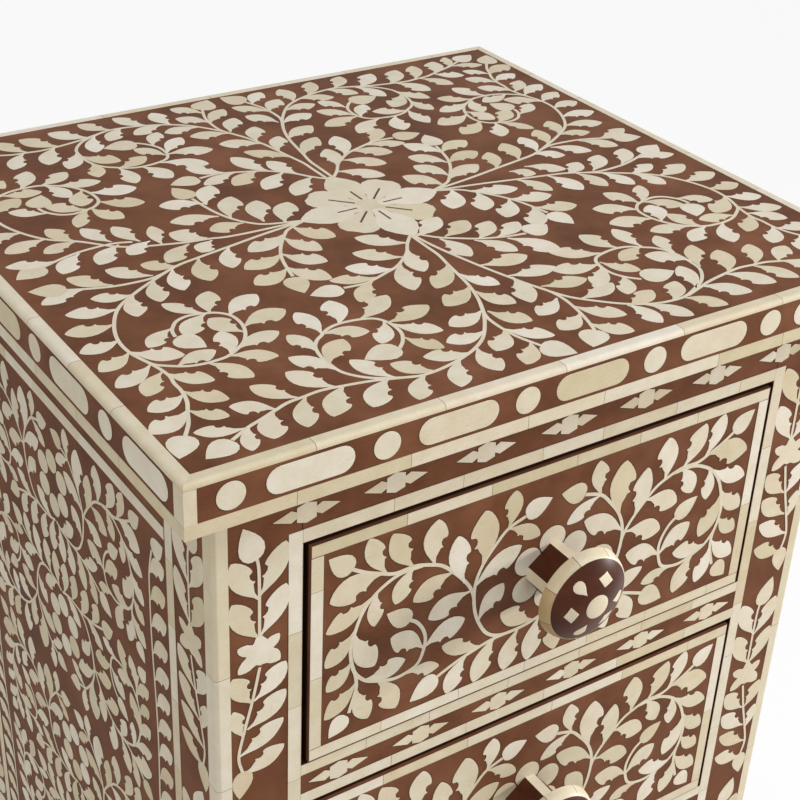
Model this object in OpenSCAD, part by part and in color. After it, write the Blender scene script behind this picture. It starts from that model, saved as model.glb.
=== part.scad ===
// Tall narrow chest of drawers: four corner posts, panels and rails carry a column of inset drawers.
// The front faces -Y and left means -X. The origin is on the floor, under the middle of the overall box.

/* [Top board] */
// Width of the top board
top_w = 450; // [400:5:600]
// Depth of the top board
top_d = 410; // [360:5:500]
// Thickness of the top board
top_t = 29; // [20:1:40]
// Radius of the rounded edges round the top face
top_edge_r = 2.5; // [0.5:0.5:6]
// How far the top reaches past each side of the body
side_overhang = 22.5; // [5:0.5:45]
// How far the top reaches past the front of the body
front_overhang = 19; // [5:1:45]

/* [Posts and panels] */
// Width of a corner post, seen from the front
post_w = 48; // [40:1:60]
// Depth of a corner post, seen from the side
post_d = 50; // [40:1:65]
// Radius of the eased long edges of a post
post_edge_r = 1; // [0.5:0.5:3]
// Height of the feet, from the floor to the lowest rail and the panels
foot_h = 90; // [40:5:120]
// Thickness of a side panel
side_panel_t = 18; // [14:1:25]
// Thickness of the back panel
back_panel_t = 9; // [6:1:12]
// How far the back panel laps onto each rear post
back_rebate_w = 12; // [6:1:18]
// Thickness of the bottom board
bottom_board_t = 12; // [9:1:14]
// Height of the bottom board above the lower edge of the bottom rail
bottom_board_rise = 8; // [6:1:10]

/* [Rails] */
// Height of the rail under the top board
top_rail_h = 38; // [30:1:70]
// Height of each rail between two drawers
divider_rail_h = 28; // [22:1:40]
// Height of the rail under the lowest drawer
bottom_rail_h = 48; // [44:1:70]
// Thickness of every front rail
rail_t = 20; // [16:1:26]

/* [Joinery] */
// Length of the tenon at each end of a rail
tenon_l = 14; // [8:1:18]
// Thickness of a tenon
tenon_t = 8; // [6:1:10]
// Height that a tenon loses above and below
tenon_shoulder = 4; // [2:1:6]
// Length of the tongue along each upright edge of a side panel
tongue_l = 8; // [5:1:12]
// Thickness of that tongue
tongue_t = 7; // [5:1:9]
// Depth of the groove that holds the bottom board
board_groove = 6; // [3:1:8]

/* [Drawers] */
// Number of drawers, one above the other
drawer_count = 6; // [2:1:6]
// Height of a drawer front
front_h = 138; // [110:1:180]
// Thickness of a drawer front behind the face of the frame
front_t = 20; // [16:1:24]
// How far a drawer front stands out from the face of the frame
front_proud = 1.5; // [0:0.5:4]
// Gap between a drawer front and the post at each side
side_gap = 3.5; // [2:0.5:6]
// Gap over a drawer front
top_gap = 2.5; // [2:0.5:6]
// Gap under a drawer front
bottom_gap = 2; // [1:0.5:4]
// Thickness of a drawer side
box_side_t = 12; // [10:1:15]
// Thickness of a drawer back
box_back_t = 12; // [9:1:15]
// Thickness of a drawer bottom
box_bottom_t = 6; // [4:1:8]
// Height of the drawer bottom above the lower edge of the sides
box_bottom_rise = 8; // [5:1:12]
// Free height above the drawer sides
box_headroom = 30; // [12:1:50]
// How far a drawer side laps into its front
front_lap = 11; // [7:1:13]
// Depth of the grooves that hold the drawer bottom
box_groove = 5; // [3:1:6]
// Depth of the housing that holds each end of a drawer back
back_housing = 4; // [2:1:6]

/* [Runners] */
// Height of the runner batten under a drawer side
runner_h = 20; // [12:1:22]
// How far a runner reaches past the inner face of the drawer side
runner_lip = 3; // [1:1:8]
// Height of the guide batten beside a drawer
guide_h = 25; // [15:1:40]
// Thickness of the stop block behind a drawer side
stop_t = 10; // [6:1:16]
// Height of the stop block
stop_h = 14; // [8:1:24]
// Clearance between a drawer and its runners or stops
run_gap = 0.3; // [0.2:0.1:0.6]
// Clearance between a drawer side and its guide
guide_gap = 0.5; // [0.3:0.1:1]

/* [Knobs] */
// How far a knob stands out from its drawer front
knob_l = 41.5; // [38:0.5:60]
// Largest diameter of a knob's head
knob_d = 55; // [44:1:64]
// Width of a knob's neck across its four dark flats
knob_neck_flats = 27.4; // [25:0.2:30]
// Width of the neck across the four bone corners between them
knob_neck_corners = 31.8; // [29:0.2:34]
// Turn of the neck's flats about the knob's own axis, in degrees
knob_neck_turn = 38; // [0:1:89]
// Depth of the rounded back of the head
knob_back_l = 7; // [5:0.5:12]
// Depth of the bone ring in front of the widest part
knob_ring_l = 7; // [3:0.5:9]
// How far the ring draws in from the widest part to the domed face
knob_ring_taper = 2; // [1:0.5:4]
// Height of the domed face in front of the bone ring
knob_dome_h = 8.5; // [5:0.5:12]
// Diameter of the screw that holds a knob
screw_d = 4; // [3:0.5:5]
// Length of that screw inside the knob
screw_grip = 20; // [12:1:24]
// Diameter of the screw's head
screw_head_d = 9; // [7:0.5:12]
// Height of the screw's head
screw_head_h = 3; // [2:0.5:4]
// Extra diameter of the screw's hole through the drawer front
screw_hole_gap = 0.6; // [0.3:0.1:1]

/* [Hidden] */
$fn = 48;
cut = 1;
thread_gap = 0.05;
neck_lap = 1;
neck_ledge = 0.6;
neck_corner_r = knob_neck_corners / 2;
neck_corner_half = knob_neck_flats / sqrt(2) - neck_corner_r;
neck_l = knob_l - knob_dome_h - knob_ring_l - knob_back_l;
body_w = top_w - 2 * side_overhang;
body_d = top_d - front_overhang;
opening_w = body_w - 2 * post_w;
opening_h = front_h + top_gap + bottom_gap;
drawer_pitch = opening_h + divider_rail_h;
lowest_opening_z = foot_h + bottom_rail_h;
body_h = lowest_opening_z + drawer_count * drawer_pitch - divider_rail_h + top_rail_h;
front_reach = max(front_overhang, front_proud + knob_l);
front_y = front_reach - (body_d + front_reach) / 2;
back_y = front_y + body_d;
post_inner_x = opening_w / 2;
panel_inner_x = body_w / 2 - side_panel_t;
panel_front_y = front_y + post_d;
panel_back_y = back_y - post_d;
tongue_x = body_w / 2 - side_panel_t / 2;
board_z = foot_h + bottom_board_rise;
front_w = opening_w - 2 * side_gap;
drawer_y = front_y - front_proud;
box_inner_w = front_w - 2 * box_side_t;
box_side_h = opening_h - run_gap - box_headroom;
drawer_back_y = panel_back_y - stop_t - run_gap;
rail_spots = concat(
    [[foot_h, bottom_rail_h]],
    [for (i = [1 : drawer_count - 1]) [opening_z(i) - divider_rail_h, divider_rail_h]],
    [[body_h - top_rail_h, top_rail_h]]
);
inlaid_brown = [0.45, 0.28, 0.21];
bare_wood = [0.74, 0.58, 0.40];
painted_brown = [0.33, 0.21, 0.16];
knob_ivory = [0.85, 0.82, 0.70];
screw_steel = [0.72, 0.72, 0.70];

function opening_z(i) = lowest_opening_z + (drawer_count - i) * drawer_pitch;
function box_z(i) = opening_z(i) + run_gap;
function knob_z(i) = opening_z(i) + bottom_gap + front_h / 2;

drawer_pieces = ["front", "left_side", "right_side", "back", "bottom", "knob", "knob_screw"];

// A plain board between two opposite corners
module board(low, high) {
    translate(low)
        cube(high - low);
}

// A rectangle whose corners are true arcs
module eased_rectangle(w, d, r) {
    translate([r, 0])
        square([w - 2 * r, d]);
    translate([0, r])
        square([w, d - 2 * r]);
    for (x = [r, w - r], y = [r, d - r])
        translate([x, y])
            circle(r = r);
}

// The top board's section: square below, rounded above
module top_section(w) {
    translate([-w / 2, 0])
        square([w, top_t - top_edge_r]);
    translate([-w / 2 + top_edge_r, 0])
        square([w - 2 * top_edge_r, top_t]);
    for (x = [-1, 1])
        translate([x * (w / 2 - top_edge_r), top_t - top_edge_r])
            circle(r = top_edge_r);
}

module top_board() {
    color(inlaid_brown)
        translate([0, back_y - top_d / 2, body_h])
            intersection() {
                rotate([90, 0, 0])
                    linear_extrude(height = top_d, center = true)
                        top_section(top_w);
                rotate([90, 0, 90])
                    linear_extrude(height = top_w, center = true)
                        top_section(top_d);
            }
}

// The groove in a left post for the tongue of the side panel, from the face at y
module tongue_groove(y) {
    board([-tongue_x - tongue_t / 2, y - tongue_l, foot_h],
          [-tongue_x + tongue_t / 2, y + tongue_l, body_h + cut]);
}

// The tenon at the left end of a rail, or the mortise that takes it
module left_tenon(z, h) {
    board([-post_inner_x - tenon_l, front_y + (rail_t - tenon_t) / 2, z + tenon_shoulder],
          [-post_inner_x, front_y + (rail_t + tenon_t) / 2, z + h - tenon_shoulder]);
}

module front_left_post() {
    color(inlaid_brown)
        difference() {
            translate([-body_w / 2, front_y, 0])
                linear_extrude(height = body_h)
                    eased_rectangle(post_w, post_d, post_edge_r);
            tongue_groove(panel_front_y);
            for (spot = rail_spots)
                left_tenon(spot[0], spot[1]);
        }
}

module front_right_post() {
    mirror([1, 0, 0])
        front_left_post();
}

module rear_left_post() {
    color(inlaid_brown)
        difference() {
            translate([-body_w / 2, panel_back_y, 0])
                linear_extrude(height = body_h)
                    eased_rectangle(post_w, post_d, post_edge_r);
            tongue_groove(panel_back_y);
            board([-post_inner_x - back_rebate_w, back_y - back_panel_t, foot_h],
                  [-post_inner_x + cut, back_y + cut, body_h + cut]);
        }
}

module rear_right_post() {
    mirror([1, 0, 0])
        rear_left_post();
}

// The bottom board, or the grooves that hold it
module bottom_board_shape() {
    wide_x = panel_inner_x + board_groove;
    top_z = board_z + bottom_board_t;
    board([-wide_x, panel_front_y, board_z], [wide_x, panel_back_y, top_z]);
    board([-post_inner_x, front_y + rail_t - board_groove, board_z],
          [post_inner_x, back_y - back_panel_t, top_z]);
}

module left_side_panel() {
    color(inlaid_brown)
        difference() {
            union() {
                board([-body_w / 2, panel_front_y, foot_h], [-panel_inner_x, panel_back_y, body_h]);
                board([-tongue_x - tongue_t / 2, panel_front_y - tongue_l, foot_h],
                      [-tongue_x + tongue_t / 2, panel_back_y + tongue_l, body_h]);
            }
            bottom_board_shape();
        }
}

module right_side_panel() {
    mirror([1, 0, 0])
        left_side_panel();
}

module back_panel() {
    wide_x = post_inner_x + back_rebate_w;
    color(painted_brown)
        board([-wide_x, back_y - back_panel_t, foot_h], [wide_x, back_y, body_h]);
}

module bottom_board() {
    color(bare_wood)
        bottom_board_shape();
}

// A front rail between the posts, with a tenon at each end
module rail(z, h) {
    color(inlaid_brown) {
        board([-post_inner_x, front_y, z], [post_inner_x, front_y + rail_t, z + h]);
        left_tenon(z, h);
        mirror([1, 0, 0])
            left_tenon(z, h);
    }
}

module top_rail() {
    rail(body_h - top_rail_h, top_rail_h);
}

module divider_rail(i) {
    rail(opening_z(i) - divider_rail_h, divider_rail_h);
}

module bottom_rail() {
    difference() {
        rail(foot_h, bottom_rail_h);
        bottom_board_shape();
    }
}

// Runner, guide and stop at the left of one drawer, glued up between the posts
module left_runner(i) {
    z = opening_z(i);
    side_x = -front_w / 2;
    lip_x = side_x + box_side_t + runner_lip;
    board([-panel_inner_x, panel_front_y, z - runner_h], [lip_x, panel_back_y, z]);
    board([-panel_inner_x, panel_front_y, z], [side_x - guide_gap, panel_back_y, z + guide_h]);
    board([side_x - guide_gap, panel_back_y - stop_t, z], [lip_x, panel_back_y, z + stop_h]);
}

module left_runners() {
    color(bare_wood)
        for (i = [1 : drawer_count])
            left_runner(i);
}

module right_runners() {
    mirror([1, 0, 0])
        left_runners();
}

// The bottom of a drawer, or the grooves that hold it
module box_bottom_shape(i) {
    wide_x = box_inner_w / 2 + box_groove;
    z = box_z(i) + box_bottom_rise;
    board([-wide_x, front_y + front_t - box_groove, z], [wide_x, drawer_back_y, z + box_bottom_t]);
}

// The back of a drawer, or the housings that hold its ends
module box_back_shape(i) {
    wide_x = box_inner_w / 2 + back_housing;
    board([-wide_x, drawer_back_y - box_back_t, box_z(i) + box_bottom_rise + box_bottom_t],
          [wide_x, drawer_back_y, box_z(i) + box_side_h]);
}

// The left side of a drawer as a whole board
module left_side_board(i) {
    board([-front_w / 2, front_y + front_t - front_lap, box_z(i)],
          [-box_inner_w / 2, drawer_back_y, box_z(i) + box_side_h]);
}

module drawer_front(i) {
    color(inlaid_brown)
        difference() {
            board([-front_w / 2, drawer_y, opening_z(i) + bottom_gap],
                  [front_w / 2, front_y + front_t, opening_z(i) + bottom_gap + front_h]);
            left_side_board(i);
            mirror([1, 0, 0])
                left_side_board(i);
            box_bottom_shape(i);
            translate([0, front_y + front_t + cut, knob_z(i)])
                rotate([90, 0, 0])
                    cylinder(d = screw_d + screw_hole_gap, h = front_t + front_proud + 2 * cut);
        }
}

module drawer_left_side(i) {
    color(bare_wood)
        difference() {
            left_side_board(i);
            box_bottom_shape(i);
            box_back_shape(i);
        }
}

module drawer_right_side(i) {
    mirror([1, 0, 0])
        drawer_left_side(i);
}

module drawer_back(i) {
    color(bare_wood)
        box_back_shape(i);
}

module drawer_bottom(i) {
    color(bare_wood)
        box_bottom_shape(i);
}

// A quarter of an ellipse from one point to the other, which sets out across the axis
function across_first(from, to, steps) = [for (s = [0 : steps - 1]) let (a = 90 * s / steps)
    [from[0] + (to[0] - from[0]) * sin(a), from[1] + (to[1] - from[1]) * (1 - cos(a))]];

// The same curve, which sets out along the axis
function along_first(from, to, steps) = [for (s = [0 : steps - 1]) let (a = 90 * s / steps)
    [from[0] + (to[0] - from[0]) * (1 - cos(a)), from[1] + (to[1] - from[1]) * sin(a)]];

// Corners of the neck's section, two at each bone corner
function neck_points() = [for (k = [0 : 3]) for (side = [-1, 1]) let (a = knob_neck_turn + 45 + 90 * k)
    [neck_corner_r * cos(a) - side * neck_corner_half * sin(a), neck_corner_r * sin(a) + side * neck_corner_half * cos(a)]];

// Half the section of the knob's head: rounded back, ring and domed face
module knob_head_section() {
    face = [knob_d / 2 - knob_ring_taper, knob_l - knob_dome_h];
    widest = [knob_d / 2, face[1] - knob_ring_l];
    polygon(concat(
        [[0, neck_l]],
        across_first([norm([neck_corner_r, neck_corner_half]) + neck_ledge, neck_l], widest, 5),
        along_first(widest, face, 3),
        along_first(face, [0, knob_l], 10),
        [[0, knob_l]]
    ));
}

module drawer_knob(i) {
    color(knob_ivory)
        translate([0, drawer_y, knob_z(i)])
            rotate([90, 0, 0])
                difference() {
                    union() {
                        linear_extrude(neck_l + neck_lap)
                            polygon(neck_points());
                        rotate_extrude()
                            knob_head_section();
                    }
                    translate([0, 0, -cut])
                        cylinder(d = screw_d + 2 * thread_gap, h = screw_grip + 2 * cut);
                }
}

module drawer_knob_screw(i) {
    color(screw_steel)
        translate([0, front_y + front_t + screw_head_h, knob_z(i)])
            rotate([90, 0, 0]) {
                cylinder(d = screw_head_d, h = screw_head_h);
                cylinder(d = screw_d, h = screw_head_h + front_t + front_proud + screw_grip);
            }
}

top_board();
front_left_post();
front_right_post();
rear_left_post();
rear_right_post();
left_side_panel();
right_side_panel();
back_panel();
bottom_board();
left_runners();
right_runners();
top_rail();
bottom_rail();
for (i = [1 : drawer_count - 1]) {
    divider_rail(i);
}
for (i = [1 : drawer_count]) {
    drawer_front(i);
    drawer_left_side(i);
    drawer_right_side(i);
    drawer_back(i);
    drawer_bottom(i);
    drawer_knob(i);
    drawer_knob_screw(i);
}
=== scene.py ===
# %% [markdown]
# Bone inlay chest of drawers
# The object is a tall, narrow chest of six drawers. A joiner builds the carcass and drawers in wood, and an inlayer
# covers the outside with small plates of bone, set in a dark brown resin that is then sanded flush and lacquered.
# The measured model gives the wood, with every piece where it belongs. This lesson adds what the inlayer did: the
# scrolls of leaves, the border strips, the turned knobs, and finishes that show bone, resin, wood and steel.

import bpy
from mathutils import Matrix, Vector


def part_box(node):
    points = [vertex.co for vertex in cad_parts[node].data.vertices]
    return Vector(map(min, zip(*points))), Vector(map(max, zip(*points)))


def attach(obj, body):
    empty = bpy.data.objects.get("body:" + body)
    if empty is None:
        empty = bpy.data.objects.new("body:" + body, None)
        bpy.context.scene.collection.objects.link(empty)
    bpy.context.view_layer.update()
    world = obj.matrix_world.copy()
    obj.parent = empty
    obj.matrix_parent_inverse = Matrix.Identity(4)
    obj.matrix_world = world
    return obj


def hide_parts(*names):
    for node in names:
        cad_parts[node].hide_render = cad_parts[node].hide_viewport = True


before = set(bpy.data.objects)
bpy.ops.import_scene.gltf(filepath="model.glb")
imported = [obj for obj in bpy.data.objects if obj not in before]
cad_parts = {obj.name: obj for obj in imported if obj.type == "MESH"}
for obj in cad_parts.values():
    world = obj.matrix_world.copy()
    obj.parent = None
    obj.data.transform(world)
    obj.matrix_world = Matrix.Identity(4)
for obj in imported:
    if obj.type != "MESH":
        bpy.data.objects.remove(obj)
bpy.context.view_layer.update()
print("measured pieces:", len(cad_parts))

# %% Modules and units
import math
import random

import bmesh
import bpy
from mathutils import Matrix, Vector

MM = 0.001
scene = bpy.context.scene

# %% [markdown]
# The chest's main sizes
# All patterns below are drawn in millimetres on flat faces, as the inlayer draws them on paper, so the sizes of those
# faces come first. They are read from the measured pieces, so that a pattern always fits its board.


# %% Faces that carry the inlay
def reach(node):
    """The low and the high corner of a measured piece, in millimetres."""
    low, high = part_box(node)
    return [v / MM for v in low], [v / MM for v in high]


cap_low, cap_high = reach("top_board")
post_low, post_high = reach("front_left_post")
drawer_low, drawer_high = reach("drawer_1_front")
FRONT_Y = post_low[1]
DRAWER_Y = drawer_low[1]
BACK_Y = reach("rear_left_post")[1][1]
BODY_HALF = -post_low[0]
BODY_TOP = post_high[2]
OPENING_HALF = -post_high[0]
DRAWER_COUNT = sum(1 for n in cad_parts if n.endswith("_knob"))
DRAWER_HALF_W = drawer_high[0]
DRAWER_HALF_H = (drawer_high[2] - drawer_low[2]) / 2
DRAWER_Z = [sum(v[2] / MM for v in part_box(f"drawer_{i}_front")) / 2 for i in range(1, DRAWER_COUNT + 1)]
RIGHT, UP, BACK = (1, 0, 0), (0, 0, 1), (0, 1, 0)
print("front plane y", FRONT_Y, "body half width", BODY_HALF, "drawer middles", [round(z, 1) for z in DRAWER_Z])

# %% [markdown]
# Small node helpers
# Every finish here is a material made of shader nodes. A few helpers keep the cells short. The main one adds a node
# and feeds its inputs, each with a value or with another node's output, and hands back one output of the new node.


# %% Helpers for shader nodes
WHITE = (1, 1, 1, 1)


def linear(r, g, b):
    """A colour picked on a screen, as the linear numbers that the renderer wants."""
    out = []
    for v in (r, g, b):
        v = v / 255
        out.append(v / 12.92 if v <= 0.04045 else ((v + 0.055) / 1.055) ** 2.4)
    return (*out, 1.0)


def feed(tree, node, inputs):
    for key, value in inputs.items():
        if isinstance(value, bpy.types.NodeSocket):
            tree.links.new(value, node.inputs[key])
        else:
            node.inputs[key].default_value = value


def put(tree, kind, inputs=None, out=0, **settings):
    node = tree.nodes.new(kind)
    column, row = divmod(len(tree.nodes), 4)
    node.location = (240 * column, -260 * row)
    for key, value in settings.items():
        setattr(node, key, value)
    feed(tree, node, inputs or {})
    return node.outputs[out]


def noise(tree, vector, scale, detail=3.0, rough=0.5):
    inputs = {"Vector": vector, "Scale": scale, "Detail": detail, "Roughness": rough}
    return put(tree, "ShaderNodeTexNoise", inputs, "Fac")


def long_noise(tree, vector, stretch, detail, rough):
    """Noise in streaks: the larger a number of the stretch, the finer the noise that way."""
    return noise(tree, put(tree, "ShaderNodeMapping", {"Vector": vector, "Scale": stretch}), 1, detail, rough)


def ramp(tree, factor, stops):
    colour = put(tree, "ShaderNodeValToRGB", {"Fac": factor}, "Color")
    band = colour.node.color_ramp
    while len(band.elements) < len(stops):
        band.elements.new(0.5)
    for element, (place, tint) in zip(band.elements, stops):
        element.position = place
        element.color = tint
    return colour


def mixed(tree, share, first, second, how="MIX"):
    return put(tree, "ShaderNodeMix", {0: share, 6: first, 7: second}, 2, data_type="RGBA", blend_type=how)


def reckoned(tree, how, first, second):
    return put(tree, "ShaderNodeMath", {0: first, 1: second}, operation=how)


def new_finish(name, rough, coat=0.0, metal=0.0, sheen=0.3):
    mat = bpy.data.materials.new(name)
    mat.use_nodes = True
    tree = mat.node_tree
    shader = tree.nodes["Principled BSDF"]
    basics = {"Roughness": rough, "Specular IOR Level": sheen, "Coat Weight": coat, "Coat Roughness": 0.18}
    feed(tree, shader, basics | {"Metallic": metal})
    return mat, tree, shader, put(tree, "ShaderNodeTexCoord", out="Object")


def complete(tree, shader, colour, height, strength, rough=None, distance=0.0001):
    """Give a finish its colour and bump, and a roughness that wanders between two values."""
    bump = put(tree, "ShaderNodeBump", {"Strength": strength, "Distance": distance, "Height": height})
    feed(tree, shader, {"Base Color": colour, "Normal": bump})
    if rough:
        value, low, high = rough
        wander = put(tree, "ShaderNodeMapRange", {"Value": value, "To Min": low, "To Max": high})
        feed(tree, shader, {"Roughness": wander})


# %% [markdown]
# Resin
# The ground between the bone plates is a filler of resin and brown pigment, poured in and sanded flat. It is never
# one brown: the pigment settles in soft clouds a few centimetres wide, the sanding leaves fine streaks, and tiny
# pores catch polish. Three noises at those three sizes give the clouds, the streaks and the pores. In the gaps round
# the drawers the resin is mixed towards near black, as painted shade where the light falls off inside the gaps.


# %% Resin finish
def painted_gap_shade_share(tree, place):
    """How much painted shade darkens the resin inside the openings for the drawers, just behind the front plane."""
    x, y = put(tree, "ShaderNodeSeparateXYZ", {"Vector": place}).node.outputs[:2]
    inside = reckoned(tree, "LESS_THAN", reckoned(tree, "ABSOLUTE", x, 0.0), (OPENING_HALF + 0.4) * MM)
    deep = reckoned(tree, "GREATER_THAN", y, (FRONT_Y + 0.3) * MM)
    return reckoned(tree, "MULTIPLY", reckoned(tree, "MULTIPLY", inside, deep), 0.85)


def resin_finish(name, browns, rough, sheen, with_painted_gap_shade=False):
    mat, tree, shader, place = new_finish(name, rough, sheen=sheen)
    dark, middle, light = (linear(*brown) for brown in browns)
    clouds = noise(tree, place, 28, 4, 0.55)
    streaks = long_noise(tree, place, (160, 160, 900), 3, 0.6)
    pores = noise(tree, place, 1900, 2)
    base = ramp(tree, clouds, [(0.32, dark), (0.5, middle), (0.7, light)])
    worked = mixed(tree, 0.16, base, ramp(tree, streaks, [(0.3, dark), (0.7, light)]))
    dots = ramp(tree, pores, [(0.3, (0.72, 0.7, 0.68, 1)), (0.42, WHITE)])
    colour = mixed(tree, 0.5, worked, dots, "MULTIPLY")
    # painted shade: inside the gaps round the drawers the resin colour is mixed towards near black
    if with_painted_gap_shade:
        colour = mixed(tree, painted_gap_shade_share(tree, place), colour, linear(38, 22, 15))
    complete(tree, shader, colour, pores, 0.12, (clouds, rough - 0.06, rough + 0.08))
    return mat


FLAT_BROWNS = ((92, 56, 36), (110, 69, 45), (127, 83, 58))
KNOB_BROWNS = ((58, 26, 12), (74, 36, 20), (94, 50, 30))
resin = resin_finish("brown_resin", FLAT_BROWNS, 0.5, 0.05)
# this resin carries painted shade, near black inside the gaps round the drawers
resin_painted_gap_shade = resin_finish("brown_resin_painted_gap_shade", FLAT_BROWNS, 0.5, 0.05, with_painted_gap_shade=True)
resin_gloss = resin_finish("turned_resin", KNOB_BROWNS, 0.36, 0.16)
print("resin finishes:", resin.name, resin_painted_gap_shade.name, resin_gloss.name)

# %% [markdown]
# Bone
# Camel bone is ivory white, but each plate is cut from its own piece: some are cool and greenish, some pink, some
# the tan of old piano keys. Every plate below carries a number between 0 and 1, its tone. The finish reads that
# number as an attribute and picks a colour from a ramp, and also slides the grain with it, so that two neighbours
# never share a streak. Fine dark hairlines are the pores of the bone.


# %% Bone finish
def bone_finish(name, tints, rough, coat):
    mat, tree, shader, place = new_finish(name, rough, coat)
    tone = put(tree, "ShaderNodeAttribute", out="Fac", attribute_name="tone")
    slid = put(tree, "ShaderNodeVectorMath", {0: tone, 1: (3.7, 5.3, 4.1), 2: place}, operation="MULTIPLY_ADD")
    clouds = noise(tree, slid, 95)
    grain = long_noise(tree, slid, (500, 2600, 1600), 2, 0.55)
    hairs = long_noise(tree, slid, (260, 4200, 2400), 1, 0.4)
    colour = ramp(tree, tone, [(i / (len(tints) - 1), linear(*tint)) for i, tint in enumerate(tints)])
    for share, pattern, start, shade, stop in (
        (1.0, clouds, 0.3, (246, 243, 234), 0.7),
        (0.35, grain, 0.3, (238, 233, 218), 0.6),
        (0.3, hairs, 0.22, (160, 140, 108), 0.3),
    ):
        colour = mixed(tree, share, colour, ramp(tree, pattern, [(start, linear(*shade)), (stop, WHITE)]), "MULTIPLY")
    complete(tree, shader, colour, grain, 0.06, (grain, rough - 0.05, rough + 0.1))
    return mat


FLAT_BONES = [
    (207, 193, 159), (217, 206, 181), (225, 215, 195), (214, 200, 168), (220, 210, 188), (230, 221, 204),
    (210, 194, 161), (226, 215, 195),
]
# the darkest tints are painted shade for the knob ring's shaded side; the plates use the light end
KNOB_BONES_AND_SHADE = [(152, 118, 76), (186, 160, 118), (214, 200, 168), (228, 217, 192)]
bone = bone_finish("inlaid_bone", FLAT_BONES, 0.45, 0.04)
old_bone = bone_finish("turned_bone", KNOB_BONES_AND_SHADE, 0.34, 0.25)
print("bone finishes:", bone.name, old_bone.name)

# %% [markdown]
# The dark seam round a plate
# A saw cut is wider than the plate that goes in it, and the gap fills with the darkest part of the resin, where dust
# and polish settle too. Round every plate runs such a seam, about half a millimetre wide. It has its own finish, a
# nearly black brown that wanders a little in depth.

# %% Seam finish
seam, tree, shader, place = new_finish("dark_seam", 0.7)
depth = noise(tree, place, 240, 3, 0.6)
complete(tree, shader, ramp(tree, depth, [(0.3, linear(70, 38, 24)), (0.7, linear(94, 54, 36))]), depth, 0.1)

# %% [markdown]
# Shapes of bone
# The inlayer saws the same few shapes by the thousand. Each is drawn here once, flat, as an outline in millimetres.
# A leaf starts in a thin tail, swells on its free side, and carries two small teeth along the other side.
# Three leaves, each also turned over, a bud, petals, a small flower, discs, strips and a few rounded or pointed
# plates are all that the pattern needs. A shape is low and closed: a bone top with a fine chamfer, and a dark seam
# round it that sinks into the board.

# %% Outline tools
BONE_TOP = 0.2
BONE_SHOULDER = 0.13
CHAMFER = 0.15
SEAM_TOP = 0.05
SEAM_W = 0.4
SUNK = -0.25
shape_room = bpy.data.collections.new("bone_shapes")
SHAPE = {}


def offset(outline, by):
    """The outline moved outwards, or inwards where the distance is below zero."""
    out = []
    count = len(outline)
    for i in range(count):
        a, b, c = (Vector(outline[n % count]) for n in (i - 1, i, i + 1))
        first = (b - a).normalized()
        second = (c - b).normalized()
        normal = Vector((first.y, -first.x)) + Vector((second.y, -second.x))
        normal.normalize()
        lean = max(0.45, normal.dot(Vector((first.y, -first.x))))
        out.append(tuple(b + normal * (by / lean)))
    return out


def bridged(count, rings, first=0, closed=False):
    """Quads between rings of corners, each ring joined to the next."""
    faces = []
    for r in range(rings if closed else rings - 1):
        low = first + r * count
        high = first + (r + 1) % rings * count
        faces += [(low + i, low + (i + 1) % count, high + (i + 1) % count, high + i) for i in range(count)]
    return faces


def capped(count, rings, first=0):
    """The same with a flat end below and above."""
    top = first + (rings - 1) * count
    below = tuple(first + i for i in range(count - 1, -1, -1))
    return [below] + bridged(count, rings, first) + [tuple(top + i for i in range(count))]


def add_shape(name, outline, length, width, seamed=True, dark=False):
    if seamed:
        bed = offset(outline, SEAM_W)
        rings = [
            (bed, SUNK), (bed, SEAM_TOP), (outline, SEAM_TOP), (outline, BONE_SHOULDER),
            (offset(outline, -CHAMFER), BONE_TOP),
        ]
    else:
        rings = [(outline, SUNK), (outline, SEAM_TOP if dark else BONE_TOP)]
    dark_rows = 2 if seamed or dark else 0
    count = len(outline)
    mesh = bpy.data.meshes.new(name)
    mesh.from_pydata([(x * MM, y * MM, z * MM) for ring, z in rings for x, y in ring], [], capped(count, len(rings)))
    marks = [int(r < dark_rows) for r in range(len(rings) - 1) for _ in range(count)]
    mesh.attributes.new("is_seam", "INT", "FACE").data.foreach_set("value", [0] + marks + [int(dark)])
    shape_room.objects.link(bpy.data.objects.new(f"{len(SHAPE):02d}_{name}", mesh))
    SHAPE[name] = (len(SHAPE), length, width)


def turned_over(outline):
    return [(x, -y) for x, y in reversed(outline)]


def ring_of(count, radius):
    return [(radius * math.cos(a), radius * math.sin(a)) for a in (2 * math.pi * k / count for k in range(count))]


# %% Leaf, bud, petal and strip outlines
LEAF_SLIM = [
    (0, -0.02), (0.09, -0.048), (0.19, -0.1), (0.3, -0.157), (0.42, -0.2), (0.54, -0.222), (0.645, -0.218),
    (0.74, -0.195), (0.845, -0.15), (0.93, -0.1), (0.98, -0.05), (1, 0), (0.92, 0.068), (0.83, 0.123), (0.76, 0.16),
    (0.68, 0.188), (0.62, 0.197), (0.575, 0.19), (0.555, 0.115), (0.49, 0.09), (0.43, 0.1), (0.37, 0.14),
    (0.35, 0.085), (0.28, 0.06), (0.2, 0.018), (0.1, 0.014), (0, 0.02),
]
LEAF_SQUARE = [
    (0, -0.02), (0.09, -0.045), (0.19, -0.1), (0.31, -0.165), (0.44, -0.212), (0.57, -0.232), (0.69, -0.222),
    (0.8, -0.185), (0.9, -0.125), (0.97, -0.055), (1, 0), (0.95, 0.06), (0.87, 0.115), (0.77, 0.16), (0.67, 0.187),
    (0.6, 0.192), (0.56, 0.182), (0.54, 0.11), (0.475, 0.085), (0.41, 0.095), (0.355, 0.13), (0.335, 0.08),
    (0.265, 0.05), (0.18, 0.016), (0.09, 0.014), (0, 0.02),
]
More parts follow.
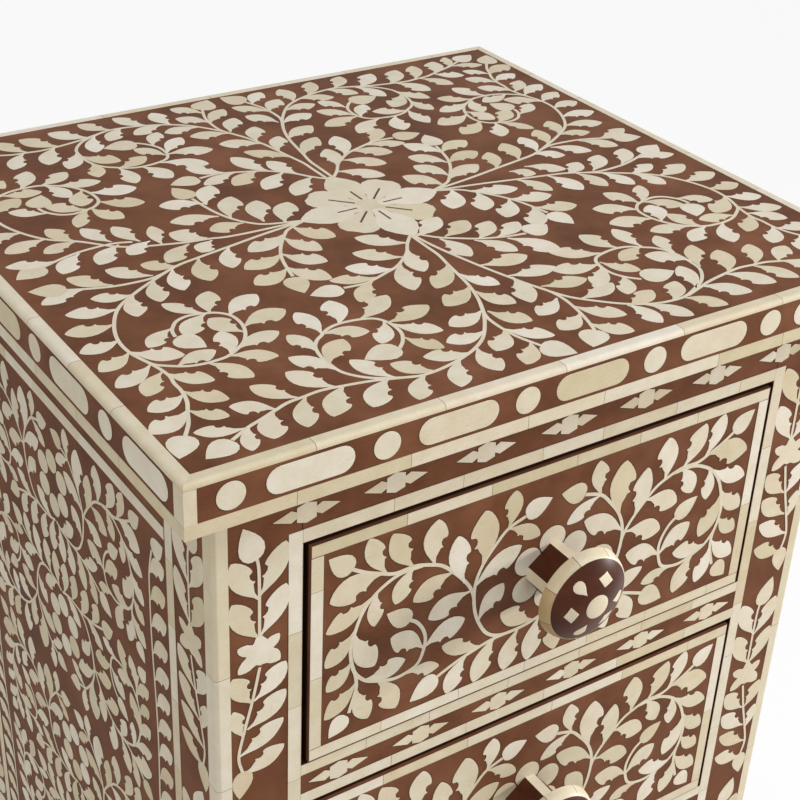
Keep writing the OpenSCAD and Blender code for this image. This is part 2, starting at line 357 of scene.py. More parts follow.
LEAF_BROAD = [
    (0, -0.02), (0.1, -0.06), (0.2, -0.12), (0.32, -0.18), (0.45, -0.222), (0.58, -0.238), (0.7, -0.222),
    (0.81, -0.175), (0.91, -0.105), (0.97, -0.045), (1, 0.01), (0.93, 0.085), (0.84, 0.145), (0.75, 0.185),
    (0.66, 0.205), (0.59, 0.203), (0.555, 0.12), (0.5, 0.1), (0.445, 0.112), (0.39, 0.155), (0.365, 0.095),
    (0.3, 0.07), (0.22, 0.025), (0.11, 0.016), (0, 0.02),
]
LEAF_L = 24
for leaf_name, leaf_outline in (("slim", LEAF_SLIM), ("square", LEAF_SQUARE), ("broad", LEAF_BROAD)):
    drawn = [(x * LEAF_L, y * LEAF_L) for x, y in leaf_outline]
    leaf_width = max(y for _, y in drawn) - min(y for _, y in drawn)
    add_shape(f"leaf_{leaf_name}_left", drawn, LEAF_L, leaf_width)
    add_shape(f"leaf_{leaf_name}_right", turned_over(drawn), LEAF_L, leaf_width)

BUD_L = 20
half_bud = [(0, -0.11), (0.05, -0.23), (0.17, -0.33), (0.34, -0.37), (0.52, -0.33), (0.7, -0.235), (0.86, -0.12)]
bud = [(x * BUD_L, y * BUD_L) for x, y in half_bud + [(1, 0)] + turned_over(half_bud)]
add_shape("bud", bud, BUD_L, 14.8)
half_petal = [(0, -3), (8, -5.5), (15, -9.5), (21, -11.6), (27, -11), (33, -7.8), (38, -3.6)]
add_shape("petal_long", half_petal + [(41, 0)] + turned_over(half_petal), 41, 23.2)
half_round = [(0, -2.5), (8, -5.5), (14, -9.5), (19.5, -12), (25, -12), (29.5, -9.5), (32, -5), (31.6, -1.4)]
add_shape("petal_round", half_round + turned_over(half_round), 32, 24)
add_shape("disc", ring_of(28, 7.5), 15, 15)
arc_right = [(15.6 + 7.4 * math.cos(a), 7.4 * math.sin(a)) for a in (math.pi * (k / 10 - 0.5) for k in range(11))]
add_shape("lozenge_long", arc_right + [(-x, -y) for x, y in arc_right], 46, 14.8)
add_shape("tall_hexagon", [(-5.4, -4.2), (0, -5.9), (5.4, -4.2), (5.4, 4.2), (0, 5.9), (-5.4, 4.2)], 10.8, 11.8)
add_shape("side_dart", [(-0.2, -1.7), (3.1, -3.5), (13.1, 0), (3.1, 3.5), (-0.2, 1.7)], 13.3, 7)
six_lobes = [
    (-2.4, 8.3), (-1.7, 9.6), (0.1, 10.1), (2.1, 9.6), (3.3, 7.9), (4.7, 6.4), (6.1, 7.4), (9, 7.9), (11.1, 7.7),
    (11.6, 6.4), (11.3, 3.9), (10.4, 2.1), (8.7, 0.7), (7.6, 0.1), (10.4, -2.1), (11.6, -4.3), (12, -7.1),
    (11.6, -9.3), (9, -9.7), (6.1, -9.3), (4, -8.1), (1.9, -7.9), (0.7, -8.3), (-1.7, -7.1), (-3.6, -7.9),
    (-5, -8.9), (-7.4, -9.6), (-10.3, -9.6), (-11.9, -8.9), (-11.9, -6.4), (-11, -4.3), (-9.6, -2.4), (-7.4, -0.7),
    (-7, 0.1), (-9.6, 1.4), (-11.3, 3.3), (-12.1, 5.4), (-11.7, 6.9), (-9.6, 7.4), (-6.7, 7.4), (-4.6, 6.4),
    (-3.6, 6.1), (-2.7, 7.1),
]
add_shape("six_lobed_flower", list(reversed(six_lobes)), 24, 20)
unit = [(-0.5, -0.5), (0.5, -0.5), (0.5, 0.5), (-0.5, 0.5)]
add_shape("strip", unit, 1, 1, seamed=False)
add_shape("dark_strip", unit, 1, 1, seamed=False, dark=True)
print("shapes drawn:", len(SHAPE), "corners in a leaf:", len(LEAF_SLIM))

# %% [markdown]
# Laying the plates
# Several thousand plates cover the chest. Copying them one by one in a script would work, but it is the kind of job
# that Geometry Nodes are for. A plan is a cloud of points, and each point says which shape lies there, how it is
# turned and sized, and what tone its bone has. The tree picks the shape by its number, sets it on the point, makes it
# real, and gives the seam and the bone their finishes.


# %% Tree that lays shapes on a plan
def new_tree(name, inputs):
    tree = bpy.data.node_groups.new(name, "GeometryNodeTree")
    tree.interface.new_socket("Geometry", in_out="INPUT", socket_type="NodeSocketGeometry")
    tree.interface.new_socket("Geometry", in_out="OUTPUT", socket_type="NodeSocketGeometry")
    for label, size in inputs.items():
        kind = "NodeSocketFloat"
        if size is None:
            kind = "NodeSocketMaterial" if "finish" in label else "NodeSocketCollection"
        socket = tree.interface.new_socket(label, in_out="INPUT", socket_type=kind)
        if size is not None:
            socket.default_value = size
    end = tree.nodes.new("NodeGroupOutput")
    end.location = (1200, 200)
    return tree, put(tree, "NodeGroupInput").node.outputs, end


def named(tree, name, kind):
    return put(tree, "GeometryNodeInputNamedAttribute", {"Name": name}, "Attribute", data_type=kind)


lay_tree, given, end = new_tree("lay_plates", {"Shapes": None, "Plate finish": None, "Seam finish": None})
room = {"Collection": given["Shapes"], "Separate Children": True, "Reset Children": True}
laid = put(lay_tree, "GeometryNodeInstanceOnPoints", {
    "Points": given["Geometry"],
    "Instance": put(lay_tree, "GeometryNodeCollectionInfo", room),
    "Pick Instance": True,
    "Instance Index": named(lay_tree, "kind", "INT"),
    "Rotation": put(lay_tree, "ShaderNodeCombineXYZ", {"Z": named(lay_tree, "turn", "FLOAT")}),
    "Scale": named(lay_tree, "size", "FLOAT_VECTOR"),
})
real = put(lay_tree, "GeometryNodeRealizeInstances", {"Geometry": laid})
plated = put(lay_tree, "GeometryNodeSetMaterial", {"Geometry": real, "Material": given["Plate finish"]})
dark_part = {"Selection": named(lay_tree, "is_seam", "INT"), "Material": given["Seam finish"]}
feed(lay_tree, end, {"Geometry": put(lay_tree, "GeometryNodeSetMaterial", {"Geometry": plated} | dark_part)})


# %% Run a tree and keep a plain mesh
def grown(name, host_mesh, tree, values):
    host = bpy.data.objects.new(name + "_plan", host_mesh)
    scene.collection.objects.link(host)
    grow = host.modifiers.new("grow", "NODES")
    grow.node_group = tree
    for item in tree.interface.items_tree:
        if item.item_type == "SOCKET" and item.in_out == "INPUT" and item.name in values:
            grow[item.identifier] = values[item.name]
    bpy.context.view_layer.update()
    ready = bpy.context.evaluated_depsgraph_get()
    mesh = bpy.data.meshes.new_from_object(host.evaluated_get(ready), preserve_all_data_layers=True, depsgraph=ready)
    bpy.data.objects.remove(host)
    mesh.name = name
    return mesh


class Plan:
    """A flat drawing in millimetres: plates, and stems as lines of points."""

    def __init__(self, seed):
        self.rows = []
        self.stems = []
        self.dice = random.Random(seed)

    def plate(self, shape, x, y, turn=0.0, length=None, width=None, lift=0.0, tone=None):
        kind, full_length, full_width = SHAPE[shape]
        size = ((length or full_length) / full_length, (width or full_width) / full_width, 1.0)
        tone = self.dice.random() if tone is None else tone
        lift = lift + 0.03 * self.dice.random()
        self.rows.append((x, y, lift, turn, size, kind, tone))

    def leaf(self, x0, y0, x1, y1, width, style=None):
        length = math.hypot(x1 - x0, y1 - y0)
        style = style or ("square", "slim", "broad", "square", "slim")[int(abs(7 * x0 + 3 * y1 + x1)) % 5]
        side = "left" if width > 0 else "right"
        self.plate(f"leaf_{style}_{side}", x0, y0, math.atan2(y1 - y0, x1 - x0), length, abs(width))

    def bud(self, x0, y0, x1, y1, width):
        length = math.hypot(x1 - x0, y1 - y0)
        self.plate("bud", x0, y0, math.atan2(y1 - y0, x1 - x0), length, width)

    def stem(self, points, width=2.0):
        self.stems.append((points, width))


def plan_mesh(plan, name):
    mesh = bpy.data.meshes.new(name)
    mesh.from_pydata([(x * MM, y * MM, z * MM) for x, y, z, *_ in plan.rows], [], [])
    for label, kind, column in (("turn", "FLOAT", 3), ("kind", "INT", 5), ("tone", "FLOAT", 6)):
        mesh.attributes.new(label, kind, "POINT").data.foreach_set("value", [row[column] for row in plan.rows])
    sizes = [v for row in plan.rows for v in row[4]]
    mesh.attributes.new("size", "FLOAT_VECTOR", "POINT").data.foreach_set("vector", sizes)
    return mesh


# %% [markdown]
# Stems
# The stems are sawn from thin sheets too, as ribbons two millimetres wide that follow long curves. A curve with a
# flat profile swept along it is exactly that. The tree turns a line of a few points into a smooth curve, lays a dark
# ribbon as the seam, and a narrower bone ribbon on top of it. Each stem lies a hair higher than the one before, so
# that two stems never share a surface where they fork.

# %% Tree that sweeps a stem
STEM_TOP = 0.19
STEM_STEP = 2.2
STEM_W = 2.0
STEM_SEAM_W = 0.8
RIBBON_DEPTH = 0.3
stem_sizes = {
    "Stem width": STEM_W * MM, "Step": STEM_STEP * MM, "Seam width": STEM_SEAM_W * MM, "Depth": RIBBON_DEPTH * MM,
}
stem_tree, given, end = new_tree("sweep_stems", stem_sizes | {"Plate finish": None, "Seam finish": None})
line = put(stem_tree, "GeometryNodeMeshToCurve", {"Mesh": given["Geometry"]})
smooth = put(stem_tree, "GeometryNodeCurveSplineType", {"Curve": line}, spline_type="CATMULL_ROM")
even = put(stem_tree, "GeometryNodeResampleCurve", {"Curve": smooth, "Length": given["Step"]}, mode="LENGTH")
upright = put(stem_tree, "GeometryNodeSetCurveNormal", {"Curve": even}, mode="Z_UP")
joined = put(stem_tree, "GeometryNodeJoinGeometry")
for seams, top, finish in ((0.0, STEM_TOP, "Plate finish"), (1.0, SEAM_TOP, "Seam finish")):
    widths = {0: given["Seam width"], 1: seams, 2: given["Stem width"]}
    wide = put(stem_tree, "ShaderNodeMath", widths, operation="MULTIPLY_ADD")
    section = put(stem_tree, "GeometryNodeCurvePrimitiveQuadrilateral", {"Width": wide, "Height": given["Depth"]})
    lifted = {"Geometry": upright, "Offset": (0, 0, (top - RIBBON_DEPTH / 2) * MM)}
    sweep = {"Curve": put(stem_tree, "GeometryNodeSetPosition", lifted), "Profile Curve": section, "Fill Caps": True}
    swept = put(stem_tree, "GeometryNodeCurveToMesh", sweep)
    flat = put(stem_tree, "GeometryNodeSetShadeSmooth", {"Geometry": swept, "Shade Smooth": False})
    ribbon = put(stem_tree, "GeometryNodeSetMaterial", {"Geometry": flat, "Material": given[finish]})
    feed(stem_tree, joined.node, {"Geometry": ribbon})
feed(stem_tree, end, {"Geometry": put(stem_tree, "GeometryNodeRealizeInstances", {"Geometry": joined})})


def stem_mesh(lines, name):
    verts = []
    edges = []
    for n, points in enumerate(lines):
        first = len(verts)
        lift = 0.012 * (n % 5)
        verts += [(x * MM, y * MM, lift * MM) for x, y in points]
        edges += [(first + i, first + i + 1) for i in range(len(points) - 1)]
    mesh = bpy.data.meshes.new(name)
    mesh.from_pydata(verts, edges, [])
    return mesh


# %% [markdown]
# From a flat plan to a face of the chest
# A plan is drawn lying down. A matrix then stands it on its face: its first two columns say which way the drawing's
# right and top point on the chest, and the third is the way out of the wood. The place is put in the mesh itself, so
# that the finished piece sits at the origin like the measured pieces do.

# %% Set a plan on its face
PLAIN_TONE = 0.55


def face_matrix(right, up, origin):
    right = Vector(right)
    up = Vector(up)
    stand = Matrix((right, up, right.cross(up))).transposed().to_4x4()
    stand.translation = Vector(origin) * MM
    return stand


def merged(name, meshes):
    """One mesh of several, with a tone on every face and the sharp edges kept."""
    whole = bmesh.new()
    tone_layer = whole.faces.layers.float.new("tone")
    materials = []
    for mesh in meshes:
        part = bmesh.new()
        part.from_mesh(mesh)
        by_corner = part.verts.layers.float.get("tone")
        by_face = part.faces.layers.float.get("tone")
        slots = []
        for mat in mesh.materials:
            if mat not in materials:
                materials.append(mat)
            slots.append(materials.index(mat))
        twins = {v: whole.verts.new(v.co) for v in part.verts}
        for f in part.faces:
            g = whole.faces.new([twins[v] for v in f.verts])
            g.material_index = slots[f.material_index]
            g.smooth = f.smooth
            g[tone_layer] = f[by_face] if by_face else f.verts[0][by_corner] if by_corner else PLAIN_TONE
        for e in part.edges:
            if not e.smooth:
                whole.edges.get([twins[v] for v in e.verts]).smooth = False
        part.free()
    mesh = bpy.data.meshes.new(name)
    whole.to_mesh(mesh)
    whole.free()
    for mat in materials:
        mesh.materials.append(mat)
    return mesh


def place_piece(name, mesh, body, stands_for=()):
    obj = bpy.data.objects.new(name, mesh)
    scene.collection.objects.link(obj)
    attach(obj, body)
    if stands_for:
        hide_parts(*stands_for)
    print(name, "triangles", sum(len(p.vertices) - 2 for p in mesh.polygons))


def dress_face(name, plan, right, up, origin, body="carcass"):
    """Grow the plates and stems of a plan, stand them on their face, and keep them as one piece."""
    finishes = {"Plate finish": bone, "Seam finish": seam}
    parts = [grown(name + "_plates", plan_mesh(plan, name), lay_tree, {"Shapes": shape_room} | finishes)]
    for width in sorted({w for _, w in plan.stems}):
        lines = [points for points, w in plan.stems if w == width]
        values = stem_sizes | {"Stem width": width * MM} | finishes
        parts.append(grown(name + "_stems", stem_mesh(lines, name), stem_tree, values))
    for part in parts:
        part.transform(face_matrix(right, up, origin))
    place_piece(name, merged(name, parts), body)


# %% Strips with joints
STRIP_BED = 0.9


def strip_run(plan, x0, y0, x1, y1, width, pieces, gap=0.28):
    """A border of short strips between two points, with hairline joints, on a dark bed."""
    length = math.hypot(x1 - x0, y1 - y0)
    turn = math.atan2(y1 - y0, x1 - x0)
    ux, uy = (x1 - x0) / length, (y1 - y0) / length
    plan.plate("dark_strip", (x0 + x1) / 2, (y0 + y1) / 2, turn, length, width + STRIP_BED, tone=0.5)
    at = 0.0
    while at < length - 0.5:
        piece = plan.dice.uniform(*pieces)
        if length - at - piece < pieces[0] * 0.5:
            piece = length - at
        middle = at + piece / 2
        plan.plate("strip", x0 + ux * middle, y0 + uy * middle, turn, piece - gap, width)
        at += piece


# %% [markdown]
# The scroll on the cap
# The cap's pattern grows from a flower in the middle. Stems leave the flower's four points, fork, and curl back in
# spirals, with leaves on both sides and a bud at every end. One quarter is written down here, in millimetres from
# the middle. The other quarters are the same drawing turned over, but for a few leaves that the hand laid otherwise.
# Each leaf is a row of tail, tip and width, and a minus before the width means that its teeth are on the right.

# %% Quarter of the cap
CAP_LEAVES = [
    (-83, -49, -107, -58, -14), (-83, -47, -68, -71, 14), (-142, -75, -132, -53, -13), (-144, -74, -159, -54, -10),
    (-135, -82, -112, -68, -14), (-136, -101, -145, -80, -14), (-134, -96, -107, -90, -15), (-90, -117, -82, -93, 14),
    (-152, -118, -146, -95, 12), (-103, -122, -104, -96, 12), (-147, -115, -121, -109, -12),
    (-180, -116, -157, -111, -12), (-114, -137, -119, -115, 11), (-68, -128, -40, -122, 14),
    (-154, -119, -133, -131, -12), (-188, -119, -170, -136, 12), (-103, -122, -81, -131, -12),
    (-166, -120, -153, -143, -13), (-69, -126, -82, -145, -11), (-115, -150, -97, -132, -14),
    (-67, -130, -48, -149, 12), (-114, -158, -129, -135, 12), (-188, -141, -209, -147, -12),
    (-188, -138, -172, -155, 12), (-123, -171, -137, -147, -14), (-69, -145, -57, -164, 11),
    (-143, -171, -158, -150, -12), (-193, -155, -216, -165, -14), (-193, -155, -179, -169, 10),
    (-157, -175, -175, -162, 12), (-73, -182, -89, -165, -12), (-177, -182, -199, -174, -10),
    (-119, -171, -137, -193, 14), (-140, -171, -152, -195, 12), (-159, -175, -170, -196, 14),
    (-97, -176, -117, -195, 14), (-57, -178, -71, -200, 12), (-80, -182, -95, -200, 12), (-78, -118, -53, -102, 14),
    (-144, -74, -163, -90, 13), (-194, -92, -172, -107, 14), (-94, -177, -104, -152, -12), (-166, -80, -184, -92, 11),
    (-132, -18, -149, -7, -12), (-151, -27, -158, -51, 12), (-175, -181, -183, -200, 9), (-167, -37, -188, -31, -11),
    (-180, -48, -206, -41, -13), (-188, -62, -214, -60, -13), (-193, -78, -215, -81, -12),
    (-194, -92, -214, -102, -12), (-168, -38, -175, -60, 12), (-190, -108, -213, -120, -12),
    (-149, -22, -168, -4, -13), (-172, -22, -189, -3, -13), (-186, -19, -212, -25, 11), (-137, -20, -142, -45, 12),
    (-48, -175, -71, -167, -12), (-55, -3, -40, -27, 15), (-188, -117, -204, -134, 12),
]
NEAR_SIDE_LEAVES = [
    (-62, -10, -91, -21, -14), (-98, -10, -108, -34, 12), (-66, -14, -55, -38, 14), (-119, -15, -125, -42, 14),
    (-77, -32, -103, -39, -14), (-77, -32, -60, -52, 14),
]
BACK_LEFT_LEAVES = [
    (-103, -6, -118, -22, 16), (-65, -10, -55, -38, 15), (-79, -24, -65, -50, 15), (-76, -14, -97, -13, -14),
    (-84, -29, -111.5, -34, -14), (-128, -10, -123, -35, 10),
]
ACROSS_LEAVES = [(-115, 4, -135, -12, 13), (-102, 2, -114, -9, 12)]
LEFT_CENTRE_LEAVES = [
    (-8, -54, -31, -34, -14), (-20, -68, -42, -50, -14), (-13, -60, -20, -88, 13), (-32, -78, -55, -64, -14),
    (-26, -73, -36, -104, 14), (-3, -86, -25, -108, -13), (-5, -100, 7, -121, 12), (-8, -115, -32, -127, -14),
    (-9, -121, 2, -143, 13), (-18, -141, -42, -147, -13), (-16, -143, -2, -163, 13), (-30, -160, -53, -161, -12),
    (-20, -163, -1, -181, 12), (-20, -164, -36, -180, -13), (-43, -172, -45, -197, 13), (-16, -181, -31, -198, -12),
    (-45, -82, -70, -73, -11), (-50, -84, -68, -102, 12),
]
RIGHT_CENTRE_LEAVES = [
    (0, -49, -25, -33, -14), (-14, -57, -37, -45, -14), (-29, -69, -48, -52, -13), (-40, -72, -62, -61, -12),
    (-10, -58, -12, -85, 14), (-26, -69, -39, -92, 13), (-44, -76, -60, -104, 16), (-10, -97, -40, -99, -14),
    (-16, -115, -45, -118, -13), (-24, -134, -51, -138, -13), (-34, -156, -60, -150, -13), (-17, -117, -8, -146, 14),
    (-23, -149, -3, -160, 12), (-23, -169, -3, -178, 13), (-25, -161, -43, -182, -13), (-20, -180, -35, -198, -13),
    (-51, -173, -54, -198, 12),
]
CAP_BUDS = [
    (-86, -60, -89, -79, 14), (-204, -174, -214, -190, 15), (-187, -189, -204, -196, 14), (-168, -90, -159, -106, 15),
    (-77, -153, -98, -155, 16), (-195, -15.5, -213, -8, 15),
]
LEFT_CENTRE_BUDS = [(-69, -84, -88, -83, 14), (-14, -187, -2, -202, 17)]
RIGHT_CENTRE_BUDS = [(-58, -76, -75, -72, 16), (-18, -187, -6, -201, 16)]
SPIRAL = [
    (-69, -181), (-79, -182), (-86, -181), (-95, -177), (-104, -172), (-110, -166), (-114, -159), (-115, -150),
    (-115, -142), (-113, -133), (-109, -127), (-105, -124), (-98, -119), (-90, -117), (-80, -118), (-72, -121),
    (-68, -127), (-67, -135), (-68, -142), (-72, -149), (-77, -154),
]
CAP_STEMS = [
    [
        (-84, -181.4), (-95, -177.8), (-105, -174.5), (-117, -172), (-131, -170), (-141, -171), (-150, -172),
        (-158, -175), (-168, -179), (-176, -182), (-187, -188),
    ],
    [
        (-191.5, -102), (-189, -108.5), (-184, -113), (-176, -118), (-168, -120), (-160, -120), (-154, -119),
        (-147, -115), (-140, -109), (-135, -100), (-133, -91), (-134, -82), (-139, -76), (-144, -74), (-153, -72),
        (-160, -74), (-164, -78), (-167, -83), (-168, -89),
    ],
    [(-141, -21.5), (-150, -24.5), (-160, -24.8), (-172, -23.5), (-184, -20), (-195, -15.5)],
]
OUTER_STEM = [
    (-166, -36), (-180, -47), (-189, -62), (-194, -78), (-194, -93), (-190, -107), (-188, -115), (-187, -123),
    (-188, -130), (-188, -138), (-190, -148), (-194, -157), (-198, -166), (-204, -175),
]
SIDE_STEMS = [
    [(-44, 0), (-58, -6), (-64, -12), (-71, -21), (-76, -29), (-80, -38), (-83, -49), (-85, -59)],
    [(-44, 0), (-74, -5), (-98, -10), (-118, -14), (-134, -18), (-151, -27)] + OUTER_STEM,
]
BACK_LEFT_STEMS = [
    [(-44, 0), (-65, -6), (-73, -12.5), (-79, -22), (-83, -34), (-85, -46), (-86, -59)],
    [
        (-44, 0), (-75, -0.6), (-92.5, -1.9), (-102.5, -4.4), (-115, -6.3), (-126, -9.4), (-140, -14), (-152, -21),
    ] + OUTER_STEM,
]
LEFT_CENTRE_STEMS = [
    [(-1, -45), (-9, -54), (-15, -63), (-22, -70), (-30, -76), (-40, -80), (-48, -83), (-56, -85), (-68, -84)],
    [
        (-2, -44), (-2, -62), (-2, -75), (-4, -88), (-6, -102), (-8, -114), (-12, -128), (-18, -142), (-26, -155),
        (-35, -166), (-45, -173), (-57, -178),
    ] + SPIRAL,
    [(-13.5, -132), (-18, -142), (-20.5, -151), (-20, -165), (-18, -175), (-13, -188)],
]
RIGHT_CENTRE_STEMS = [
    [(0, -44), (-10, -56), (-20, -63), (-30, -69), (-45, -74), (-57, -76)],
    [
        (1, -44), (-1, -60), (-4, -75), (-9, -95), (-14, -112), (-19, -127), (-24, -140), (-30, -152), (-40, -163),
        (-50, -172), (-60, -178),
    ] + SPIRAL,
    [(-20.5, -131), (-24.3, -141), (-25.5, -152), (-24, -165), (-21, -178), (-18, -187)],
]


DRIFT = 2.6
DRIFT_FROM = 45
DRIFT_OVER = 157


def lean(x, y):
    """The two halves of the pattern drift apart a little towards the front and back edges."""
    return x - DRIFT * max(0, abs(y) - DRIFT_FROM) / DRIFT_OVER


def straight(x, y):
    return x


# %% Lay the cap
TOP_EDGING = 7.6
CAP_HALF_DRAWN = 203
CAP_MIDDLE_Y = cap_high[1] - (CAP_HALF_DRAWN + 0.5)
SCROLL_DOWN = 0.36
LONGER_TIP = 0.02
PETAL_FROM = 6
HEART = 17
RAY_FROM = 9
RAY_W = 1.2
ABOVE_PETALS = 0.03
ABOVE_BONE = 0.24
cap_plan = Plan(11)
front_fit = (cap_low[1] + TOP_EDGING - CAP_MIDDLE_Y) / -CAP_HALF_DRAWN
back_fit = (cap_high[1] - TOP_EDGING - CAP_MIDDLE_Y) / CAP_HALF_DRAWN


def lay_quarter(leaves, buds, stems, sx, sy, lean_by=lean):
    fit = front_fit if sy == 1 else back_fit

    def at(x, y, drawn_x, drawn_y):
        return sx * lean_by(drawn_x, drawn_y) + sx * (x - drawn_x), sy * y * fit

    for x0, y0, x1, y1, w in leaves:
        if sx == -1 and x1 > 0:
            continue
        tip = at(x1 + LONGER_TIP * (x1 - x0), y1 + LONGER_TIP * (y1 - y0), x1, y1)
        cap_plan.leaf(*at(x0, y0, x0, y0), *tip, sx * sy * w)
    for x0, y0, x1, y1, w in buds:
        cap_plan.bud(*at(x0, y0, x0, y0), *at(x1, y1, x1, y1), w)
    for points in stems:
        cap_plan.stem([at(x, y, x, y) for x, y in points], STEM_W)


for sx in (1, -1):
    for sy in (1, -1):
        lay_quarter(CAP_LEAVES, CAP_BUDS, CAP_STEMS, sx, sy)
        if sx == 1 and sy == -1:
            lay_quarter(BACK_LEFT_LEAVES, [], BACK_LEFT_STEMS, sx, sy)
        else:
            lay_quarter(NEAR_SIDE_LEAVES, [], SIDE_STEMS, sx, sy)
        if sx == -1 and sy == 1:
            lay_quarter(RIGHT_CENTRE_LEAVES, RIGHT_CENTRE_BUDS, RIGHT_CENTRE_STEMS, sx, sy, straight)
        else:
            lay_quarter(LEFT_CENTRE_LEAVES, LEFT_CENTRE_BUDS, LEFT_CENTRE_STEMS, sx, sy)
        if sy == 1:
            lay_quarter(ACROSS_LEAVES, [], [], sx, sy)
for petal, first_turn, lift in (("petal_round", math.pi / 4, 0.0), ("petal_long", 0.0, ABOVE_PETALS)):
    for k in range(4):
        a = math.pi / 2 * k + first_turn
        cap_plan.plate(petal, PETAL_FROM * math.cos(a), PETAL_FROM * math.sin(a), a, lift=lift)
cap_plan.plate("disc", 0, 0, 0, HEART, HEART, lift=ABOVE_PETALS)
for k in range(8):
    a = math.pi / 4 * k
    far = 25 if k % 2 else 22
    middle = (far + RAY_FROM) / 2
    ray = middle * math.cos(a), middle * math.sin(a), a, far - RAY_FROM, RAY_W
    cap_plan.plate("dark_strip", *ray, lift=ABOVE_BONE)
dress_face("cap_scroll_inlay", cap_plan, RIGHT, BACK, (0, CAP_MIDDLE_Y, cap_high[2] - SCROLL_DOWN))

# %% [markdown]
# The cap's board and its bone edging
# The edging of the cap is one frame of bone: it lies seven millimetres wide on top, rolls over the rounded edge and
# ends three millimetres down the side. A section swept round a rectangle with mitred corners gives it, cut into
# short pieces by hairlines. The board itself is the measured one, taken a quarter of a millimetre smaller, so that
# bone laid on it ends exactly at the real size.

# %% Sweep a section round the cap
SHARP = 0.7


def closed_mesh(name, verts, faces, finishes, picks, tones, rounded=False):
    """A closed mesh with a finish and a tone on every face. A rounded one is smooth between its sharp edges."""
    mesh = bpy.data.meshes.new(name)
    mesh.from_pydata([(x * MM, y * MM, z * MM) for x, y, z in verts], [], faces)
    for mat in finishes:
        mesh.materials.append(mat)
    mesh.polygons.foreach_set("material_index", picks)
    mesh.attributes.new("tone", "FLOAT", "FACE").data.foreach_set("value", tones)
    if rounded:
        mesh.shade_smooth()
    solid = bmesh.new()
    solid.from_mesh(mesh)
    for edge in solid.edges:
        if rounded and len(edge.link_faces) == 2 and edge.calc_face_angle(0) > SHARP:
            edge.smooth = False
    bmesh.ops.recalc_face_normals(solid, faces=solid.faces)
    solid.to_mesh(mesh)
    solid.free()
    return mesh


def toned_mesh(name, verts, faces, tones):
    """A mesh of bone, with the seam finish where the tone is below zero."""
    return closed_mesh(name, verts, faces, (bone, seam), [int(t < 0) for t in tones], [max(0.0, t) for t in tones])


def frame_run(name, section, dice, pieces=(46, 78), gap=0.24):
    """Sweep a section of (inward, height) points round the cap, with mitres, and mark the joints dark."""
    x0, y0, _ = cap_low
    x1, y1, top = cap_high
    sides = [
        ((x0, y0), (1, 0), (0, 1), x1 - x0), ((x1, y0), (0, 1), (-1, 0), y1 - y0),
        ((x1, y1), (-1, 0), (0, -1), x1 - x0), ((x0, y1), (0, -1), (1, 0), y1 - y0),
    ]
    rings = []
    spans = []
    for (cx, cy), (ax, ay), (nx, ny), length in sides:
        stops = []
        at = 0.0
        while True:
            at += dice.uniform(*pieces)
            if length - at < pieces[0] * 0.6:
                break
            stops.append(at)
        rings.append([(cx + ax * d + nx * d, cy + ay * d + ny * d, h) for d, h in section])
        spans.append(dice.random())
        for at in stops:
            for edge in (at - gap / 2, at + gap / 2):
                rings.append([(cx + ax * edge + nx * d, cy + ay * edge + ny * d, h) for d, h in section])
            spans += [-1.0, dice.random()]
    count = len(section)
    tones = [tone for tone in spans for _ in range(count)]
    mesh = toned_mesh(name, [p for ring in rings for p in ring], bridged(count, len(rings), closed=True), tones)
    mesh.transform(Matrix.Translation((0, 0, top * MM)))
    place_piece(name, mesh, "carcass")


CAP_R = 2.5
EDGING_W = 7
EDGING_DOWN = 3.1
EDGING_THICK = 0.6
FOOT_FROM = 21.6
THICK = cap_high[2] - cap_low[2]
roll_over = [(CAP_R * (1 - math.sin(a)), -CAP_R * (1 - math.cos(a))) for a in (math.pi / 12 * k for k in range(7))]
top_section = [(EDGING_W, -1.2), (EDGING_W, 0)] + roll_over
top_section += [(0, -EDGING_DOWN), (EDGING_THICK, -EDGING_DOWN), (2.8, -1.4)]
foot_section = [(EDGING_THICK, -FOOT_FROM), (0, -FOOT_FROM), (0, -THICK), (EDGING_THICK, -THICK)]
edge_dice = random.Random(5)
frame_run("cap_top_edging", top_section, edge_dice)
frame_run("cap_lower_edging", foot_section, edge_dice)

# %% Make the board smaller under the bone
UNDER = 0.25
NEAR_EDGE = 5
board = bmesh.new()
board.from_mesh(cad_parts["top_board"].data)
bmesh.ops.remove_doubles(board, verts=board.verts, dist=1e-6)
for v in board.verts:
    x, y, z = (c / MM for c in v.co)
    inward = 1 if y < cap_low[1] + NEAR_EDGE else -1 if y > cap_high[1] - NEAR_EDGE else 0
    v.co.x = x * (cap_high[0] - UNDER) / cap_high[0] * MM
    v.co.y = (y + UNDER * inward) * MM
    v.co.z = (z - (UNDER if z > cap_high[2] - NEAR_EDGE else 0)) * MM
board_mesh = bpy.data.meshes.new("cap_board")
board.to_mesh(board_mesh)
board.free()
board_mesh.materials.append(resin)
place_piece("cap_board", board_mesh, "carcass", stands_for=("top_board",))

# %% [markdown]
# The cap's narrow edges
# Round the cap's edge runs a row of discs and long rounded plates, between the two edgings. In front the row starts
# with a disc, 23 mm from the corner, and on the sides with a long plate. It repeats about every 81 mm.


# %% Lay the cap's edges
EDGE_PITCH = 80.8
EDGE_W = 14.8
EDGE_DOWN = 12.4
EDGE_PLATES = {"disc": EDGE_W, "lozenge_long": 46}
END_LENGTH = 18.2


